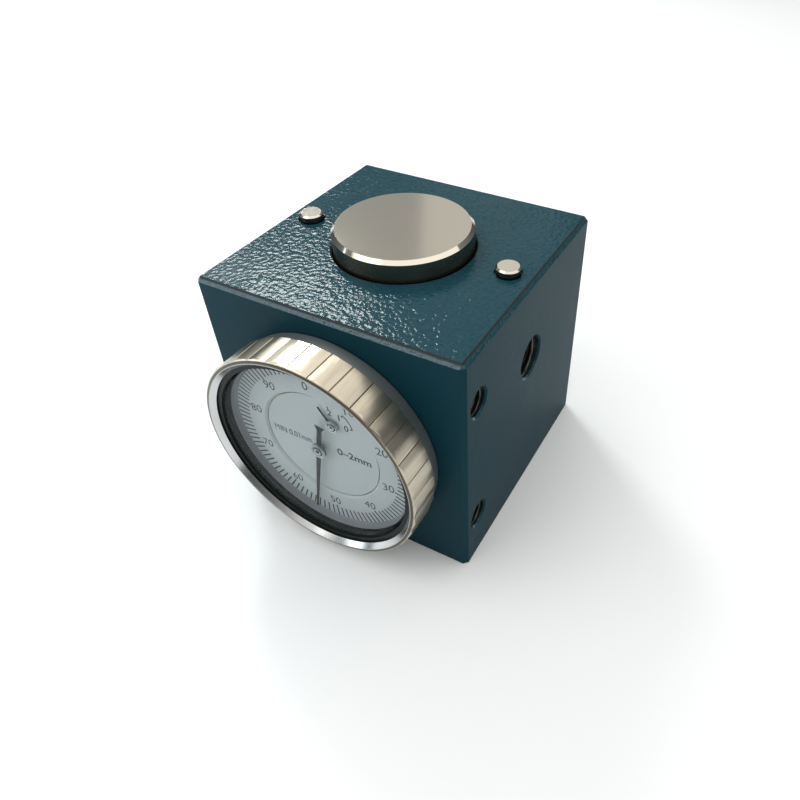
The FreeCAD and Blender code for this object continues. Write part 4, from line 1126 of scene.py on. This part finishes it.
class DressHands(bpy.types.Operator):
    """Blackens the two hands and leaves their hubs bright"""

    bl_idname = "setter.dress_hands"
    bl_label = "Hands"

    def execute(self, context):
        black = hand_black()
        bright = machined("hub_steel", (0.45, 0.47, 0.48), 0.28)
        for node, axis, _, hub_radius in HANDS:
            hand = smooth_copy(node, black)
            back = front_of(node) + HUB_HEIGHT

            def on_hub(middle, normal):
                return from_axis(middle, axis).length < hub_radius and middle.y < back

            second_finish(hand, bright, on_hub)
        return {"FINISHED"}


class MakeHubs(bpy.types.Operator):
    """Adds the turned rivets that hold the hands on their arbors"""

    bl_idname = "setter.make_hubs"
    bl_label = "Hubs"

    def execute(self, context):
        bright = machined("rivet_steel", (0.46, 0.48, 0.49), 0.2, stretch=(1.0, 1.0, 1.0))
        # A nearly black copy of the rivet steel, painted shade for the rivets' hollows.
        painted_shade = machined("rivet_groove_shade", (0.05, 0.05, 0.055), 0.3, stretch=(1.0, 1.0, 1.0))
        for node, axis, radius, _ in HANDS:
            along = (math.pi / 2, 0.0, 0.0)
            bpy.ops.mesh.primitive_cylinder_add(vertices=48, radius=radius, depth=RIVET_DEPTH, rotation=along)
            rivet = bpy.context.object
            apply_place()
            bpy.ops.object.mode_set(mode="EDIT")
            choose_front(rivet, border=True)
            bpy.ops.mesh.bevel(offset=RIVET_BEVEL, segments=2, affect="EDGES")
            for share, depth in RIVET_STEPS:
                choose_front(rivet)
                bpy.ops.mesh.inset(thickness=radius * share, depth=0.0)
                if depth:
                    bpy.ops.transform.translate(value=(0.0, depth * MM, 0.0))
            end_edit()
            put_on_dial(rivet, axis, front_of(node) - RIVET_LIFT)
            bpy.ops.object.shade_smooth_by_angle(angle=math.radians(30))
            rivet.name = node + "_rivet"
            rivet.data.name = rivet.name
            rivet.data.materials.append(bright)

            # The grooves and the sunk middle of each rivet are painted nearly black: painted shade in their
            # hollows.
            def in_groove(middle, normal):
                share = from_axis(middle, axis).length / radius
                return 0.50 < share < 0.76 or share < 0.12

            second_finish(rivet, painted_shade, in_groove)
            settle(rivet, BODY_OF[node])
        return {"FINISHED"}


class DressInside(bpy.types.Operator):
    """Gives the hidden pieces their metals"""

    bl_idname = "setter.dress_inside"
    bl_label = "Inside"

    def execute(self, context):
        wheels = ("transfer_wheel", "hairspring_wheel", "hairspring_stud")
        arbors = ("rack_arbor", "centre_arbor", "hairspring_arbor", "movement_pillars")
        springs = ("return_spring", "hairspring", "retaining_ring")
        metals = (
            ("gear_brass", (0.78, 0.57, 0.25), 0.25, wheels),
            ("plate_brass", (0.72, 0.54, 0.26), 0.32, ("movement_plate", "movement_bridge")),
            ("arbor_steel", (0.60, 0.60, 0.60), 0.2, arbors),
            ("bracket_steel", (0.40, 0.41, 0.42), 0.34, ("rack",)),
            ("spring_steel", (0.30, 0.30, 0.31), 0.3, springs),
            ("bush_bronze", (0.55, 0.36, 0.18), 0.34, ("upper_guide_bush", "lower_guide_bush")),
            ("plug_steel", (0.24, 0.24, 0.25), 0.36, ("spring_plug",)),
            ("small_screw", (0.52, 0.52, 0.52), 0.24, ("plate_screws", "bridge_screws")),
        )
        for name, colour, roughness, nodes in metals:
            material = machined(name, colour, roughness)
            for node in nodes:
                dress(node, material)
        return {"FINISHED"}


class SetStage(bpy.types.Operator):
    """Sets the floor, the soft lights and the camera"""

    bl_idname = "setter.set_stage"
    bl_label = "Stage"

    def execute(self, context):
        stage = context.scene.setter_stage
        bpy.ops.mesh.primitive_plane_add(size=3.0, location=(0.0, 0.0, BLOCK_LOW.z))
        floor = bpy.context.object
        floor.name = "floor"
        floor.data.materials.append(pale_floor(stage))
        panel("ceiling", (0.05, -0.12, 0.65), (0.05, -0.12, 0.0), 1.7, 1.5, 1.09, (1.0, 0.965, 0.90))
        panel("window", towards(139.5, 40, 0.6), BLOCK_TOP, 0.118, 0.130, 24.0, (0.95, 1.0, 0.96))
        panel("curtain", towards(151, 27, 0.65), BLOCK_TOP, 0.22, 0.20, 1.5, (0.94, 0.98, 1.0))
        panel("back_wall", towards(123, 29, 0.70), BLOCK_TOP, 0.36, 0.22, 0.32, (1.0, 0.99, 0.95))
        panel("back_light", towards(113, 30, 0.65), BLOCK_TOP, 0.18, 0.22, 0.36, (1.0, 0.96, 0.84))
        panel("key", towards(230, 48, 0.7), BLOCK_TOP, 0.36, 0.46, 1.2, (0.97, 0.98, 0.97))
        panel("side_window", (-0.20, -0.12, 0.10), (0.0, -0.025, 0.03), 0.12, 0.12, 2.6, (0.86, 0.96, 1.0))
        context.scene.world = soft_room()
        context.scene.view_settings.view_transform = "Standard"
        bpy.ops.object.camera_add(location=stage.camera_place, rotation=stage.camera_turn)
        camera = bpy.context.object
        camera.name = "camera"
        camera.data.sensor_width = SENSOR_WIDTH
        camera.data.lens = stage.lens
        camera.data.shift_x, camera.data.shift_y = CAMERA_SHIFT
        camera.data.clip_start = CAMERA_NEAR
        context.scene.camera = camera
        return {"FINISHED"}


class SetterPanel(bpy.types.Panel):
    """Lists the settings and the steps of the tool setter"""

    bl_idname = "VIEW3D_PT_setter"
    bl_label = "Tool Setter"
    bl_space_type = "VIEW_3D"
    bl_region_type = "UI"
    bl_category = "Tool Setter"

    def draw(self, context):
        for group in GROUPS:
            box = self.layout.box()
            settings = getattr(context.scene, group)
            for name in settings.bl_rna.properties.keys():
                if name not in ("rna_type", "name"):
                    box.prop(settings, name)
        for step in STEPS:
            self.layout.operator(step.bl_idname)


STEPS = (
    DressBlock,
    DressAnvil,
    DressBezel,
    DressScrews,
    MakeThreads,
    MakeGasketLip,
    MakeScale,
    MakeSmallDial,
    DressHands,
    MakeHubs,
    DressInside,
    SetStage,
)
GROUPS = {
    "setter_paint": PaintSettings,
    "setter_metal": MetalSettings,
    "setter_dial": DialSettings,
    "setter_stage": StageSettings,
}


def register():
    for group in GROUPS.values():
        bpy.utils.register_class(group)
    for name, group in GROUPS.items():
        setattr(bpy.types.Scene, name, bpy.props.PointerProperty(type=group))
    for step in STEPS:
        bpy.utils.register_class(step)
    bpy.utils.register_class(SetterPanel)


def unregister():
    bpy.utils.unregister_class(SetterPanel)
    for step in reversed(STEPS):
        bpy.utils.unregister_class(step)
    for name, group in GROUPS.items():
        delattr(bpy.types.Scene, name)
        bpy.utils.unregister_class(group)


def main():
    register()
    for step in STEPS:
        category, name = step.bl_idname.split(".")
        getattr(getattr(bpy.ops, category), name)()


if __name__ == "__main__":
    main()
